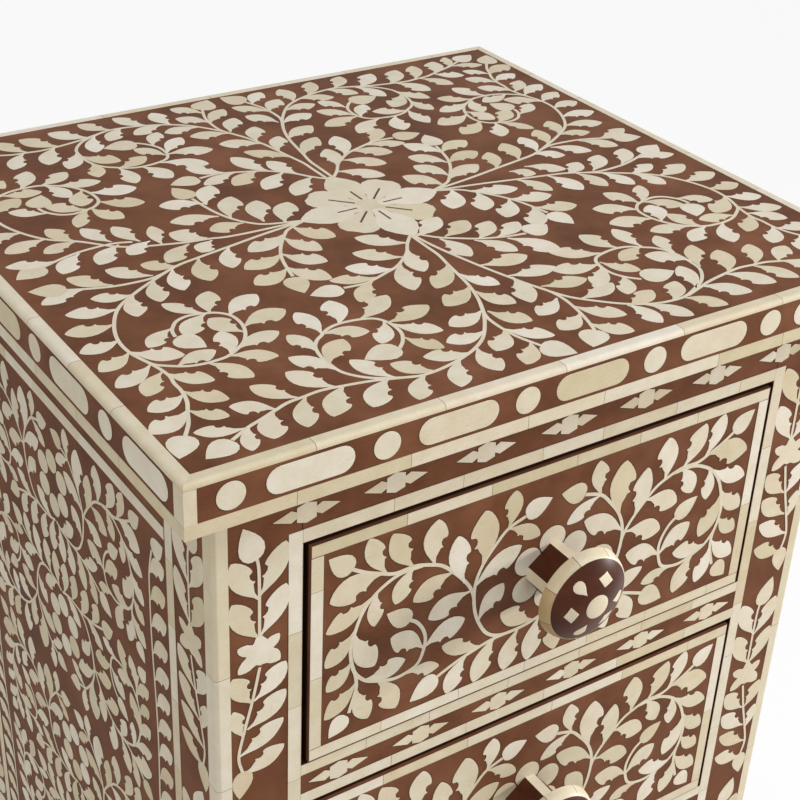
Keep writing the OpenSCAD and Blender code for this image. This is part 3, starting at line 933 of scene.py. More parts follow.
def edge_plan(length, seed, starts_with, first, end_width):
    plan = Plan(seed)
    half = length / 2
    band = THICK / 2 - EDGE_DOWN
    count = round((length - 2 * first) / EDGE_PITCH)
    pitch = (length - 2 * first) / count
    other = "disc" if starts_with == "lozenge_long" else "lozenge_long"
    for k in range(count + 1):
        x = -half + first + k * pitch
        plan.plate(starts_with, x, band, 0, EDGE_PLATES[starts_with], EDGE_W)
        if k < count:
            plan.plate(other, x + pitch / 2, band, 0, EDGE_PLATES[other], EDGE_W)
    for side in (-1, 1):
        x = side * (half - end_width / 2)
        plan.plate("dark_strip", x - side * 0.22, band, math.pi / 2, END_LENGTH + 0.2, end_width + 0.4)
        plan.plate("strip", x, band, math.pi / 2, END_LENGTH, end_width)
    return plan


cap_mid_z = (cap_low[2] + cap_high[2]) / 2
cap_mid_y = (cap_low[1] + cap_high[1]) / 2
front_row = edge_plan(cap_high[0] - cap_low[0], 21, "disc", 23, 6.5)
dress_face("cap_front_edge_inlay", front_row, RIGHT, UP, (0, cap_low[1] + UNDER, cap_mid_z))
for label, side, seed, x in (("left", -1, 22, cap_low[0] + UNDER), ("right", 1, 23, cap_high[0] - UNDER)):
    side_row = edge_plan(cap_high[1] - cap_low[1], seed, "lozenge_long", 38, 9.5)
    dress_face(f"cap_{label}_edge_inlay", side_row, (0, side, 0), UP, (x, cap_mid_y, cap_mid_z))

# %% [markdown]
# The vine on the posts
# Each post carries a vine: a bud, pairs of leaves, a six lobed flower, and a stem that swings aside and starts
# again. The posts' front faces and side faces share it. It repeats once for every drawer, and here too a row is tail,
# tip and width.

# %% Vine
VINE_STEP = 170.5
VINE_BUD = (22.9, 38.5, 16.0, 18.4, 14)
VINE_FLOWER = (24.1, 94.6)
VINE_LEAVES = [
    (24, 62, 9.5, 36, 13), (24, 61, 39, 33, -13), (24.3, 86, 9.5, 60, 13), (24.3, 85, 39, 58, -13),
    (20, 125, 9.5, 105, 12), (21, 124, 39, 106, -13), (15, 145, 9.5, 126, 9), (17, 141, 39, 124, -13),
    (12, 157, 37.5, 142, -12), (14, 170, 38, 160, -12),
]
VINE_END = (15, 168, 12, 186, 12)
VINE_STEMS = [
    [(22.9, 37.3), (24.3, 47), (24.3, 84)],
    [(24.3, 104), (20, 124), (15.6, 140.5), (12, 157), (14, 168)],
]
VINE_STEM_W = 1.7
FLOWER_R = 12


def lay_vine(plan, place, flip, bottom):
    """Lay the vine down a band, where place turns (across, down) into the plan's own coordinates."""
    for n in range(int(bottom / VINE_STEP) + 1):
        down = n * VINE_STEP
        for x0, y0, x1, y1, w in VINE_LEAVES:
            if max(y0, y1) + down < bottom:
                style = "slim" if abs(w) < 13 else "square"
                plan.leaf(*place(x0, y0 + down), *place(x1, y1 + down), w * flip, style)
        for x0, y0, x1, y1, w in (VINE_BUD, VINE_END):
            if max(y0, y1) + down < bottom:
                plan.bud(*place(x0, y0 + down), *place(x1, y1 + down), w)
        if VINE_FLOWER[1] + FLOWER_R + down < bottom:
            plan.plate("six_lobed_flower", *place(VINE_FLOWER[0], VINE_FLOWER[1] + down))
        for points in VINE_STEMS:
            if points[0][1] + down < bottom:
                line = [place(x, min(y + down, bottom - 2)) for x, y in points]
                if line[-1] != line[0]:
                    plan.stem(line, VINE_STEM_W)


# %% [markdown]
# The front frame
# The face frame is two posts, a top rail, a rail between every two drawers and a bottom rail. Bone strips run along
# both edges of every rail and down the inner edge of the posts. Between them the rails carry a row of small motifs,
# a tall hexagon with a dart on each side.

# %% Lay the front frame
HEXAGON_HALF = 5.4


def rail_motif(plan, x, y):
    plan.plate("tall_hexagon", x, y, lift=0.02)
    plan.plate("side_dart", x + HEXAGON_HALF, y, 0.0)
    plan.plate("side_dart", x - HEXAGON_HALF, y, math.pi)


def level_strip(plan, x, to_x, z, width, pieces):
    strip_run(plan, x, z, to_x, z, width, pieces)


def upright_strip(plan, x, z, to_z, width, pieces):
    strip_run(plan, x, z, x, to_z, width, pieces)


RAIL_STRIPS = (1, -3.6, 6.9), (0, 3.9, 7.3)
RAIL_MOTIFS = (-131.2, -78.7, -26.2, 26.2, 78.7, 131.2)
TOP_MOTIFS = (-152.5, -102.5, -48.5, 4.5, 56.5, 107.5, 157.5)
TOP_MOTIF_DOWN = 21
TOP_STRIP_DOWN = 7.6
TOP_STRIP_UP = 3.9
POST_STRIP_OUT = 3.85
FRONT_STRIP = 7.6
EDGE_STRIP = 7.4
FOOT_STRIP_Z = 4.4
CORNER_W = 8.6
VINE_ENDS = 10
RAIL_PIECES = (38, 58)
POST_PIECES = (40, 64)
frame_plan = Plan(31)
inner = OPENING_HALF
for rail in [f"divider_rail_{i}" for i in range(1, DRAWER_COUNT)] + ["bottom_rail"]:
    ends_z = [corner[2] for corner in reach(rail)]
    for end, inward, width in RAIL_STRIPS:
        level_strip(frame_plan, -inner, inner, ends_z[end] + inward, width, RAIL_PIECES)
    for x in RAIL_MOTIFS:
        rail_motif(frame_plan, x, sum(ends_z) / 2)
top_low = reach("top_rail")[0][2]
outer = BODY_HALF - CORNER_W
level_strip(frame_plan, -inner, inner, top_low + TOP_STRIP_UP, FRONT_STRIP, RAIL_PIECES)
level_strip(frame_plan, -outer, outer, BODY_TOP - TOP_STRIP_DOWN, EDGE_STRIP, RAIL_PIECES)
for x in TOP_MOTIFS:
    rail_motif(frame_plan, x, BODY_TOP - TOP_MOTIF_DOWN)
for side in (-1, 1):
    upright_strip(frame_plan, side * (inner + POST_STRIP_OUT), top_low + 7.7, 8, FRONT_STRIP, POST_PIECES)
    level_strip(frame_plan, side * outer, side * inner, FOOT_STRIP_Z, EDGE_STRIP, (30, 34))
    lay_vine(frame_plan, lambda a, b, s=side: (s * (BODY_HALF - a), BODY_TOP - b), side, BODY_TOP - VINE_ENDS)
dress_face("front_frame_inlay", frame_plan, RIGHT, UP, (0, FRONT_Y, 0))

# %% [markdown]
# Bone corners
# The front corners of the posts are bone on both faces, eight millimetres wide in front and nine at the side, made
# of pieces about nine centimetres long. An L shaped section pulled down the post gives both faces and the round
# arris between them in one piece. The post's own corner is planed off under it, or the wood would show through.

# %% Pull a section down a corner
PLANED = 2.0
CORNER_R = 2.5
CORNER_FRONT = 8.2
CORNER_SIDE = 9.4
PROUD = 0.2


def corner_run(name, section, dice, pieces=(70, 110), gap=0.22):
    heights = [0.0]
    spans = []
    at = 0.0
    while BODY_TOP - at > pieces[0] * 1.5:
        at += dice.uniform(*pieces)
        heights += [at - gap / 2, at + gap / 2]
        spans += [dice.random(), -1.0]
    heights.append(BODY_TOP)
    spans.append(dice.random())
    count = len(section)
    verts = [(x, y, z) for z in heights for x, y in section]
    faces = [tuple(range(count))] + capped(count, len(heights))[1:]
    tones = [spans[0]] + [tone for tone in spans for _ in range(count)] + [spans[-1]]
    place_piece(name, toned_mesh(name, verts, faces, tones), "carcass")


def planed_post(node, side):
    """The measured post with its outer front corner planed off, so that rounded bone fits over it."""
    core = bmesh.new()
    core.from_mesh(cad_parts[node].data)
    bmesh.ops.remove_doubles(core, verts=core.verts, dist=1e-6)
    everything = core.verts[:] + core.edges[:] + core.faces[:]
    on_plane = Vector((side * (BODY_HALF - PLANED), FRONT_Y, 0)) * MM
    cut = bmesh.ops.bisect_plane(core, geom=everything, plane_co=on_plane, plane_no=(side, -1, 0), clear_outer=True)
    rim = [e for e in cut["geom_cut"] if isinstance(e, bmesh.types.BMEdge)]
    bmesh.ops.triangle_fill(core, edges=rim, use_beauty=True)
    bmesh.ops.recalc_face_normals(core, faces=core.faces)
    mesh = bpy.data.meshes.new(f"{node}_core")
    core.to_mesh(mesh)
    core.free()
    mesh.materials.clear()
    # the planed post takes the resin with painted shade in the drawer gaps
    mesh.materials.append(resin_painted_gap_shade)
    return mesh


corner_dice = random.Random(8)
for side, label in ((-1, "left"), (1, "right")):
    x = side * (BODY_HALF + PROUD)
    y = FRONT_Y - PROUD
    section = [(x - side * CORNER_FRONT, y)]
    for k in range(9):
        a = math.pi / 16 * k
        section.append((x - side * CORNER_R * (1 - math.sin(a)), y + CORNER_R * (1 - math.cos(a))))
    inside = [(0, CORNER_SIDE), (EDGING_THICK, CORNER_SIDE), (EDGING_THICK, 2.6), (1.25, 1.25)]
    inside += [(2.6, EDGING_THICK), (CORNER_FRONT, EDGING_THICK)]
    section += [(x - side * inward, y + back) for inward, back in inside]
    corner_run(f"{label}_corner_edging", section, corner_dice)
    post = f"front_{label}_post"
    place_piece(f"{label}_post_core", planed_post(post, side), "carcass", stands_for=(post,))

# %% [markdown]
# The drawer fronts
# Every drawer front has a bone border, and inside it a scroll that starts at the middle and curls out to both ends.
# The left half is written down and turned over for the right. Behind the knob lies a flower of six round lobes. The
# six drawers share the drawing, but every plate gets its own tone, so that no two drawers are the same.

# %% Left half of a drawer front
DRAWER_LEAVES = [
    (-31, 36, -28, 59, 12), (-90, 34, -103, 59, -14), (-77, 30, -76, 58, -15), (-46, 18, -47, 53, 18),
    (-57, 11, -63, 43, -14), (-108, 37, -139, 30, 17), (-89, 34, -100, 14, 12), (-111, 27, -112, 5, 10),
    (-115, 24, -141, 12, -12), (-65, 21, -89, 11, 14), (-53, 4, -79, -4, 14), (-124, 5, -111, -21, 14),
    (-46, -18, -31, 1, -13), (-81, -22, -102, -7, 14), (-81, -22, -55, -13, -14), (-125, -12, -140, -26, -11),
    (-117, -28, -92, -25, 12), (-122, -31, -114, -55, 12), (-109, -32, -97, -56, -14), (-106, 36, -117, 61, -12),
    (-31, 36, -9, 24, -10), (-50, 6, -21, 22, -14), (-42, -37, -69, -26, -11), (-91, -35, -70, -39, -9),
    (-52, -39, -64, -61, 13), (-33, -33, -46, -61, 14), (-18, -35, -26, -61, 14), (-4, -32, -9, -61, 14),
    (-8, -33, -31, -19, -13), (-122, -27, -141, -44, -12), (-124, 7, -141, -10, -12),
]
DRAWER_BUDS = [
    (-126, 46, -140, 57, 13), (-90, 0, -105, 10, 12), (-128, -47, -138, -58, 12), (-20, 41, -3, 46, 13),
    (-71, -46, -88, -56, 14),
]
DRAWER_STEMS = [
    [
        (-1, -31), (-11, -34), (-22, -35), (-32, -34), (-40, -29), (-46, -19), (-49, -10), (-50.5, 0), (-54, 8),
        (-61, 17), (-71, 27), (-79, 31), (-89, 34), (-101, 34), (-109, 37), (-118, 41), (-126, 46),
    ],
    [(-49.8, -6), (-50.2, 3), (-49, 11), (-45, 20), (-38, 29), (-31, 36), (-20, 40)],
    [
        (-84, 32.5), (-97, 32.6), (-106, 29.5), (-114, 24), (-120, 16), (-124, 5), (-126, -5), (-125, -14),
        (-122.5, -23), (-122, -31), (-124, -39), (-126, -46),
    ],
    [
        (-125.6, -11), (-123.3, -20), (-117, -28), (-109, -32), (-99, -35), (-90, -34), (-84, -31), (-81, -24),
        (-80, -16), (-82, -9), (-86, -3), (-90, 0),
    ],
    [(-22, -35), (-32, -35), (-40, -36), (-48, -38), (-56, -40), (-64, -43), (-71, -46)],
]


def lay_scroll(plan, mid_x, mid_y, fit=1.0, flip=1):
    for side in (1, -1):

        def at(x, y):
            return mid_x + side * x * fit, mid_y + flip * y * fit

        for x0, y0, x1, y1, w in DRAWER_LEAVES:
            plan.leaf(*at(x0, y0), *at(x1, y1), w * side * flip * fit)
        for x0, y0, x1, y1, w in DRAWER_BUDS:
            plan.bud(*at(x0, y0), *at(x1, y1), w * fit)
        for points in DRAWER_STEMS:
            plan.stem([at(x, y) for x, y in points], 2.1 * fit)
    away = 18 * fit
    lobe = 17.3 * fit
    for k in range(6):
        a = math.pi / 3 * k + math.pi / 6
        plan.plate("disc", mid_x + away * math.cos(a), mid_y + away * math.sin(a), 0, lobe, lobe)


# %% Lay the six drawer fronts
BORDER = 6.9
BORDER_PIECES = (40, 62)
BORDER_MARGIN = 0.5
BORDER_JOINT = 0.35
DRAWN_HALF_W = 150
half_w = DRAWER_HALF_W - BORDER_MARGIN
half_h = DRAWER_HALF_H - BORDER_MARGIN
for i, middle_z in enumerate(DRAWER_Z, 1):
    plan = Plan(100 + i)
    for s in (-1, 1):
        x = s * (half_w - BORDER / 2)
        level_strip(plan, -half_w, half_w, s * (half_h - BORDER / 2), BORDER, BORDER_PIECES)
        low_z, high_z = -half_h + BORDER + BORDER_JOINT, half_h - BORDER - BORDER_JOINT
        upright_strip(plan, x, low_z, high_z, BORDER, BORDER_PIECES)
    lay_scroll(plan, 0, 0, DRAWER_HALF_W / DRAWN_HALF_W)
    dress_face(f"drawer_{i}_front_inlay", plan, RIGHT, UP, (0, DRAWER_Y, middle_z), f"drawer_{i}")

# %% [markdown]
# The sides
# The side of the chest is a panel between two posts. The posts carry the vine again, with a bone strip along their
# inner edge. The panel is framed by strips. A column of leaves climbs along both edges of its long field, and between
# them the drawer scroll lies ten times one above the other, every second one upside down, so that the stems seem to
# run on. The left side is the right side turned over.

# %% Lay the two sides
GARLAND_STEP = 17.6
GARLAND_FROM = 18.6
GARLAND_STEM = 19.4
GARLAND_LEAF_H = 12.6
GARLAND_LEAF_W = 12.4


def lay_garland(plan, place, flip, bottom):
    """Lay a bud and a climbing row of leaves along the edge of a side, where place takes (in from the edge, down)."""
    plan.bud(*place(15.0, 14.6), *place(2.6, 5.4), 12)
    stem = [place(15.8, 15.2)]
    for n in range(int((bottom - 32) / GARLAND_STEP) + 1):
        top = GARLAND_FROM + n * GARLAND_STEP
        middle = GARLAND_STEM + 1.1 * math.sin(n * math.pi / 4)
        plan.leaf(*place(middle, top + GARLAND_LEAF_H), *place(2.4, top), -GARLAND_LEAF_W * flip, "square")
        stem.append(place(middle + 0.4, top + 12.8))
    plan.stem(stem, 1.5)


POST_DEPTH = post_high[1] - post_low[1]
BODY_DEPTH = BACK_Y - FRONT_Y
PANEL_LOW = reach("left_side_panel")[0][2]
PANEL_HALF = BODY_DEPTH / 2 - POST_DEPTH
FIELD_LOW = PANEL_LOW + 9
FIELD_HIGH = BODY_TOP - 51
FIELD_H = FIELD_HIGH - FIELD_LOW
COLUMN_W = 25
DRAWN_REACH = 143
DRAWN_H = 123
ROWS = 10
ROW_H = FIELD_H / ROWS
ROW_FIT = min((PANEL_HALF - COLUMN_W) / DRAWN_REACH, ROW_H / DRAWN_H)
SIDE_MOTIF_STEP = 52
SIDE_MOTIF_DOWN = 27.5
SIDE_STRIP_DOWN = 8
POST_STRIP_IN = 4.2
REAR_STRIP_IN = 5.2
STRIP_TOP = BODY_TOP - 4
STRIP_FOOT = 8.2
CLEAR = 0.6


def edges_of(side):
    """The two edges of a side: whether it is the front one, which way it turns, and how far in a place lies."""
    yield True, side, lambda a: side * a
    yield False, -side, lambda a: side * (BODY_DEPTH - a)


for side, label in ((-1, "left"), (1, "right")):
    plan = Plan(200 + side)
    for is_front, turn, across in edges_of(side):
        lay_vine(plan, lambda a, b: (across(a * 0.97 + 1.6), BODY_TOP - b), -turn, BODY_TOP - VINE_ENDS)
        upright_strip(plan, across(POST_DEPTH - POST_STRIP_IN), STRIP_TOP, STRIP_FOOT, FRONT_STRIP, POST_PIECES)
        foot_from = across(9.6 if is_front else CLEAR)
        level_strip(plan, foot_from, across(POST_DEPTH - CLEAR), FOOT_STRIP_Z, EDGE_STRIP, (22, 30))
        if not is_front:
            upright_strip(plan, across(REAR_STRIP_IN), STRIP_TOP, STRIP_FOOT, CORNER_W, POST_PIECES)
    for _, turn, across in edges_of(side):
        lay_garland(plan, lambda a, b: (across(POST_DEPTH + a), FIELD_HIGH - b), -turn, FIELD_H)
    ends = side * (POST_DEPTH + CLEAR), side * (BODY_DEPTH - POST_DEPTH - CLEAR)
    for z in (FIELD_HIGH + 4, PANEL_LOW + 4.6):
        level_strip(plan, *ends, z, EDGE_STRIP, POST_PIECES)
    for k in range(5):
        rail_motif(plan, side * (BODY_DEPTH / 2 + (k - 2) * SIDE_MOTIF_STEP), BODY_TOP - SIDE_MOTIF_DOWN)
    level_strip(plan, *ends, BODY_TOP - SIDE_STRIP_DOWN, EDGE_STRIP, POST_PIECES)
    for n in range(ROWS):
        lay_scroll(plan, side * (BODY_DEPTH / 2), FIELD_HIGH - ROW_H * (n + 0.5), ROW_FIT, -1 if n % 2 else 1)
    dress_face(f"{label}_side_inlay", plan, (0, side, 0), UP, (side * BODY_HALF, FRONT_Y, 0))

# %% [markdown]
# The knobs
# A knob has a square neck whose four corners are planed off and faced with bone, so that four brown flats and four
# narrow bone ones run along it. It flares to a bone ring, which holds a domed brown cap with a bone disc, three
# diamonds and three drops. Each part is a closed mesh built ring by ring. The plates on the cap are drawn flat with
# rings inside them, and then every corner is lifted by the height of the dome at that place.

# %% Build a knob
knob_low, knob_high = reach("drawer_1_knob")
KNOB_LENGTH = knob_high[1] - knob_low[1]
NECK_CORNER_R = 16.27
NECK_CORNER_TURN = 12.3
NECK_TURN = 83
RING_FROM = KNOB_LENGTH - 15.5
RING_TURN = 18
KNOB_NECK = RING_FROM - 7
KNOB_BACK = [(0, 16.9), (1.8, 17.5), (3.5, 19.4), (5.2, 22.8), (6.8, 27.0)]
KNOB_RING = [(RING_FROM, 27.5), (RING_FROM + 2.0, 27.2), (RING_FROM + 4.5, 26.5), (RING_FROM + 6.5, 25.6)]
DOME_FROM = RING_FROM + 6.5
DOME_R = 25.3
DOME_STEPS = 12
DOME_SIDES = 64
DOME_FOOT_R = 24.0
DOME_FOOT_DOWN = 2.2
HEAD_SIDES = 56
NECK_INTO_HEAD = 0.4
NECK_SEAM = 0.3
RING_SEAM_TURN = 0.013


def dome(r):
    """How far the cap of the knob stands out at a distance from the middle."""
    rise = KNOB_LENGTH - UNDER - DOME_FROM
    ball = (DOME_R ** 2 + rise ** 2) / (2 * rise)
    return DOME_FROM + math.sqrt(max(0.0, ball ** 2 - r ** 2)) - (ball - rise)


def fan(count, first, tip):
    """Triangles from a ring of corners to one corner in its middle."""
    return [(first + i, first + (i + 1) % count, tip) for i in range(count)]


def knob_part(name, verts, faces, marks, tones):
    """A part of the knob whose faces are marked resin, seam, or bone with the number of their tone."""
    kinds = [("bone", "seam", "resin").index(m.split("_")[0]) for m in marks]
    picked = [tones[int(m.split("_")[1])] if "_" in m else PLAIN_TONE for m in marks]
    return closed_mesh(name, verts, faces, (old_bone, seam, resin_gloss), kinds, picked, rounded=True)


def neck_section():
    """The neck's corners and seams, and what lies after each."""
    points = []
    kinds = []
    for k in range(4):
        near, far = (math.radians(NECK_TURN + 90 * k + s * NECK_CORNER_TURN) for s in (-1, 1))
        after = math.radians(NECK_TURN + 90 * (k + 1) - NECK_CORNER_TURN)
        a, b, c = (Vector((math.cos(v), math.sin(v))) * NECK_CORNER_R for v in (near, far, after))
        along = (c - b).normalized() * NECK_SEAM
        points += [a, b, b + along, c - along]
        kinds += [f"bone_{k}", "seam", "resin", "seam"]
    return points, kinds


def knob_back_mesh(name, tones):
    """The faceted neck, and the brown back of the head that flares out to the ring."""
    points, kinds = neck_section()
    count = len(points)
    verts = [(p.x, p.y, t) for t in (0.0, KNOB_NECK + NECK_INTO_HEAD) for p in points]
    below, *flats, above = capped(count, 2)
    faces = [below, above] + flats
    head = capped(HEAD_SIDES, len(KNOB_BACK), len(verts))
    for t, r in KNOB_BACK:
        verts += [(x, y, KNOB_NECK + t) for x, y in ring_of(HEAD_SIDES, r)]
    marks = ["resin", "resin"] + kinds + ["resin"] * len(head)
    return knob_part(name, verts, faces + head, marks, tones)


def knob_ring_mesh(name, tones):
    """The bone ring, in eight pieces, round the edge of the cap."""
    rim = DOME_FROM
    section = [(RING_FROM - 0.3, 26.0)] + KNOB_RING + [(rim + 0.4, 25.0), (rim + 0.2, 24.3), (rim - 2.5, 23.6)]
    angles = []
    kinds = []
    for k in range(8):
        start = math.radians(RING_TURN + 45 * k)
        stop = math.radians(RING_TURN + 45 * (k + 1)) - RING_SEAM_TURN
        angles += [start + (stop - start) * j / 8 for j in range(8)] + [stop]
        kinds += [f"bone_{k}"] * 8 + ["seam"]
    verts = [(r * math.cos(a), r * math.sin(a), t) for a in angles for t, r in section]
    count = len(section)
    marks = [kind for kind in kinds for _ in range(count)]
    return knob_part(name, verts, bridged(count, len(angles), closed=True), marks, tones)


def knob_dome_mesh(name):
    verts = [(x, y, DOME_FROM - DOME_FOOT_DOWN) for x, y in ring_of(DOME_SIDES, DOME_FOOT_R)]
    for k in range(DOME_STEPS, 0, -1):
        r = DOME_R * math.sin(math.pi / 2 * k / DOME_STEPS)
        verts += [(x, y, dome(r)) for x, y in ring_of(DOME_SIDES, r)]
    verts.append((0, 0, dome(0)))
    faces = capped(DOME_SIDES, DOME_STEPS + 1)[:-1] + fan(DOME_SIDES, DOME_STEPS * DOME_SIDES, len(verts) - 1)
    return knob_part(name, verts, faces, ["resin"] * len(faces), [])


# %% Lay the plates of a knob and bend them to its cap
KNOB_SEAM_W = 0.35
KNOB_SHOULDER = 0.14
RINGS_INSIDE = (0.96, 0.66, 0.33)


def fan_shape(outline):
    """A shape with rings inside it, so that it can bend over the cap."""
    mid_x, mid_y = (sum(point[n] for point in outline) / len(outline) for n in (0, 1))
    bed = offset(outline, KNOB_SEAM_W)
    rings = [(bed, SUNK), (bed, SEAM_TOP), (outline, SEAM_TOP), (outline, KNOB_SHOULDER)]
    for share in RINGS_INSIDE:
        rings.append(([(mid_x + (x - mid_x) * share, mid_y + (y - mid_y) * share) for x, y in outline], BONE_TOP))
    return rings, (mid_x, mid_y)


half_drop = [(-4.6, 0.0), (-2.6, 1.1), (-0.6, 2.6), (1.2, 3.5), (3.0, 3.3), (4.3, 2.0), (4.7, 0.0)]
DROP = [(x, -y) for x, y in half_drop] + half_drop[-2:0:-1]
KNOB_DIAMOND = []
corners = [(-5.4, 0), (0, -3.9), (5.4, 0), (0, 3.9)]
for k in range(4):
    (ax, ay), (bx, by) = corners[k], corners[(k + 1) % 4]
    KNOB_DIAMOND += [(ax + (bx - ax) * j / 4, ay + (by - ay) * j / 4) for j in range(4)]
KNOB_DISC_R = 7.25
DIAMOND_AWAY = 15.2
DROP_AWAY = 16.2
KNOB_PLATES = [(ring_of(28, KNOB_DISC_R), 0, 0, 0)]
KNOB_PLATES += [(KNOB_DIAMOND, DIAMOND_AWAY, 66 + 120 * k, 90) for k in range(3)]
KNOB_PLATES += [(DROP, DROP_AWAY, angle, 0) for angle in (-7, 127, 247)]


def knob_plates(name, tones):
    verts = []
    faces = []
    marks = []
    for tone, (outline, away, angle, extra) in enumerate(KNOB_PLATES):
        rings, middle = fan_shape(outline)
        a = math.radians(angle)
        turn = a + math.radians(extra)
        count = len(outline)
        first = len(verts)
        quads = capped(count, len(rings), first)[:-1]

        def onto(x, y, h):
            px = away * math.cos(a) + x * math.cos(turn) - y * math.sin(turn)
            py = away * math.sin(a) + x * math.sin(turn) + y * math.cos(turn)
            return px, py, dome(math.hypot(px, py)) + h

        for ring, height in rings:
            verts += [onto(x, y, height) for x, y in ring]
        verts.append(onto(*middle, BONE_TOP))
        faces += quads + fan(count, first + (len(rings) - 1) * count, len(verts) - 1)
        dark_faces = 1 + 2 * count
        marks += ["seam"] * dark_faces + [f"bone_{tone}"] * (len(quads) + count - dark_faces)
    return knob_part(name, verts, faces, marks, tones)


# painted shade on the ring: pieces on its left and lower side take the dark tan end of the tints, those on the right
# the light end
SHADED_SIDE_TURN = 185
for i, middle_z in enumerate(DRAWER_Z, 1):
    dice = random.Random(300 + i)
    tones = [0.75 + 0.25 * dice.random() for _ in range(9)]
    ring_shaded_tones = [0.5 - 0.42 * math.cos(math.radians(45 * k - SHADED_SIDE_TURN)) + 0.08 * dice.random() for k in range(8)]
    name = f"turned_knob_{i}"
    parts = [
        knob_back_mesh(name + "_back", tones), knob_ring_mesh(name + "_ring", ring_shaded_tones),
        knob_dome_mesh(name + "_dome"), knob_plates(name + "_plates", tones),
    ]
    for part in parts:
        part.transform(face_matrix(RIGHT, UP, (0, DRAWER_Y, middle_z)))
    place_piece(name, merged(name, parts), f"drawer_{i}", (f"drawer_{i}_knob",))

# %% [markdown]
# Wood, paint and steel
# Inside, the drawer boxes and the runners are bare sheesham wood. Its grain is long fibres with darker growth bands,
# so the noise is stretched along each board. The back of the chest stands against a wall and is only painted. The
# screws that hold the knobs are plain steel.


# %% Wood finish
def wood_finish(name, along):
    mat, tree, shader, place = new_finish(name, 0.6)
    bands = long_noise(tree, place, [6 if axis == along else 90 for axis in "xyz"], 4, 0.55)
    fibres = long_noise(tree, place, [40 if axis == along else 1500 for axis in "xyz"], 3, 0.6)
    base = ramp(tree, bands, [(0.3, linear(142, 98, 60)), (0.5, linear(172, 126, 82)), (0.72, linear(190, 148, 104))])
    fine = ramp(tree, fibres, [(0.3, linear(176, 160, 142)), (0.65, WHITE)])
    complete(tree, shader, mixed(tree, 0.6, base, fine, "MULTIPLY"), fibres, 0.25, (fibres, 0.5, 0.72), 0.0002)
    return mat


wood = {axis: wood_finish(f"bare_wood_{axis}", axis) for axis in "xy"}

# %% Painted back
painted, tree, shader, place = new_finish("brown_paint", 0.62)
patches = long_noise(tree, place, (60, 60, 7), 4, 0.6)
brush = long_noise(tree, place, (900, 900, 30), 2, 0.6)
paints = ramp(tree, patches, [(0.3, linear(88, 56, 42)), (0.55, linear(102, 66, 50)), (0.75, linear(112, 74, 58))])
complete(tree, shader, paints, brush, 0.3, (brush, 0.52, 0.7), 0.0002)

# %% Steel of the screws
steel, tree, shader, place = new_finish("screw_steel", 0.3, metal=1.0)
clouds = noise(tree, place, 700, 3, 0.6)
greys = ramp(tree, clouds, [(0.3, linear(150, 148, 144)), (0.7, linear(186, 184, 180))])
complete(tree, shader, greys, clouds, 0.08, (clouds, 0.24, 0.42))


# %% Dress the measured pieces
def finish_of(name):
    if name.endswith("_screw"):
        return steel
    if name == "back_panel":
        return painted
    if name.endswith(("_runners", "_side")):
        return wood["y"]
    if name.endswith(("_board", "_back", "_bottom")) and name != "top_board":
        return wood["x"]
    # drawer fronts, posts and rails take the resin with painted shade in the drawer gaps
    if name.endswith(("_front", "_post")) or "rail" in name:
        return resin_painted_gap_shade
    return resin


for name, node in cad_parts.items():
    for slot in node.material_slots:
        slot.material = finish_of(name)
print("measured pieces dressed")

# %% [markdown]
# Camera, floor and light
# The camera looks down on the near left corner of the chest, from about a metre away, with a long lens. A small lamp
# on the right, just above the height of the top, grazes the front, so that each knob throws a long soft shadow. A
# large lamp above and a fill on the left open the rest, with a white surround. The floor is pale and keeps the shadow
# of the feet.

# %% Camera
yaw, pitch, roll = 0.605279, 0.540318, -0.0457327
ahead = Vector((math.sin(yaw) * math.cos(pitch), math.cos(yaw) * math.cos(pitch), -math.sin(pitch)))
level = Vector((math.cos(yaw), -math.sin(yaw), 0))
below = ahead.cross(level)
image_right = level * math.cos(roll) + below * math.sin(roll)
image_down = below * math.cos(roll) - level * math.sin(roll)
camera_data = bpy.data.cameras.new("photo_camera")
camera_data.lens = 72.45
camera_data.sensor_width = 36
camera_data.clip_start = 0.02
camera = bpy.data.objects.new("photo_camera", camera_data)
pose = Matrix((image_right, -image_down, -ahead)).transposed().to_4x4()
pose.translation = Vector((-0.47044, -0.70586, 1.58438))
camera.matrix_world = pose
scene.collection.objects.link(camera)
scene.camera = camera

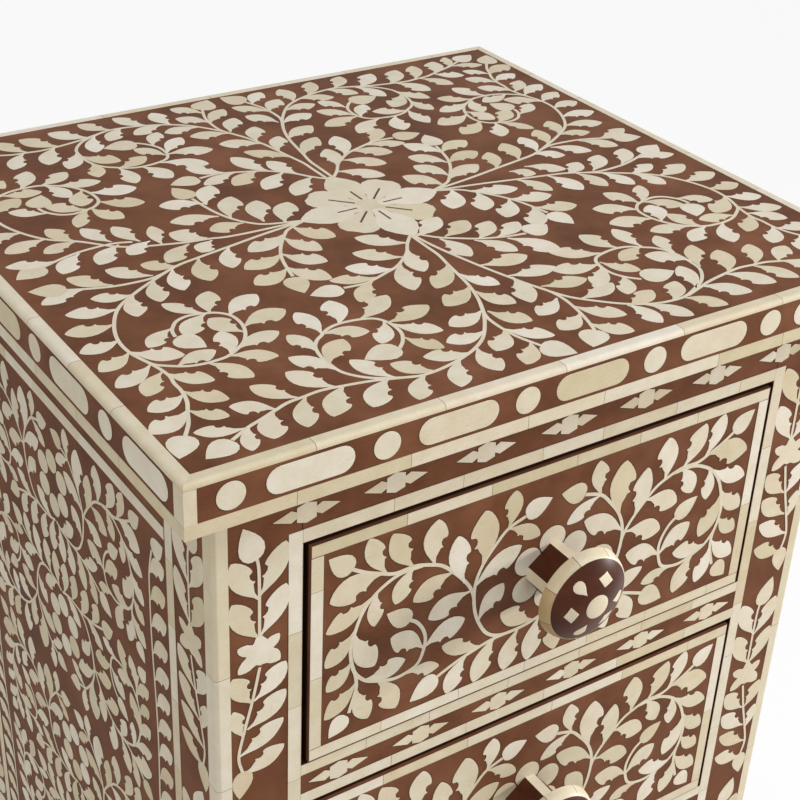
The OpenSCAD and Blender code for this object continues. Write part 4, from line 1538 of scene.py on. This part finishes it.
# %% Floor
FLOOR_HALF = 9
floor_corners = [(-1, -1), (1, -1), (1, 1), (-1, 1)]
floor_mesh = bpy.data.meshes.new("studio_floor")
floor_mesh.from_pydata([(x * FLOOR_HALF, y * FLOOR_HALF, 0) for x, y in floor_corners], [], [(0, 1, 2, 3)])
floor_mat = bpy.data.materials.new("pale_floor")
floor_mat.use_nodes = True
tree = floor_mat.node_tree
tree.nodes.remove(tree.nodes["Principled BSDF"])
place = put(tree, "ShaderNodeTexCoord", out="Object")
away = put(tree, "ShaderNodeVectorMath", {0: place}, "Value", operation="LENGTH")
share = {"Value": away, "From Min": 0.35, "From Max": 1.0, "To Min": 0.45, "To Max": 0.9}
seen = put(tree, "ShaderNodeLightPath", out="Is Camera Ray")
glowing = reckoned(tree, "MULTIPLY", seen, put(tree, "ShaderNodeMapRange", share))
matt = put(tree, "ShaderNodeBsdfDiffuse", {"Color": (0.86, 0.86, 0.86, 1)})
glow = put(tree, "ShaderNodeEmission", {"Color": WHITE})
surface = put(tree, "ShaderNodeMixShader", {0: glowing, 1: matt, 2: glow})
feed(tree, tree.nodes["Material Output"], {"Surface": surface})
floor_mesh.materials.append(floor_mat)
floor = bpy.data.objects.new("studio_floor", floor_mesh)
scene.collection.objects.link(floor)


# %% Lamps and surround
def soft_lamp(name, place, target, size, power, colour):
    data = bpy.data.lights.new(name, "AREA")
    data.shape = "DISK"
    data.size = size
    data.energy = power
    data.color = colour
    lamp = bpy.data.objects.new(name, data)
    lamp.location = place
    lamp.rotation_euler = (Vector(target) - Vector(place)).to_track_quat("-Z", "Y").to_euler()
    scene.collection.objects.link(lamp)


soft_lamp("low_key_lamp", (2.35, -1.05, 1.4), (0, 0, 1.0), 0.5, 56, (1.0, 0.96, 0.93))
soft_lamp("overhead_lamp", (0.1, -0.7, 2.5), (0, -0.1, 1.2), 1.4, 12.9, (0.95, 1.01, 1.18))
soft_lamp("left_fill", (-2.7, -0.9, 1.4), (0, 0, 0.9), 2.2, 13, (1.0, 0.97, 0.85))
surround = bpy.data.worlds.new("white_surround")
surround.use_nodes = True
sky = surround.node_tree
rays = put(sky, "ShaderNodeLightPath").node.outputs
straight_on = reckoned(sky, "MAXIMUM", rays["Is Camera Ray"], rays["Is Transmission Ray"])
direct = reckoned(sky, "MAXIMUM", straight_on, rays["Is Glossy Ray"])
brightness = put(sky, "ShaderNodeMapRange", {"Value": direct, "To Min": 0.465, "To Max": 0.94})
feed(sky, sky.nodes["Background"], {"Color": WHITE, "Strength": brightness})
scene.world = surround
scene.view_settings.view_transform = "Standard"
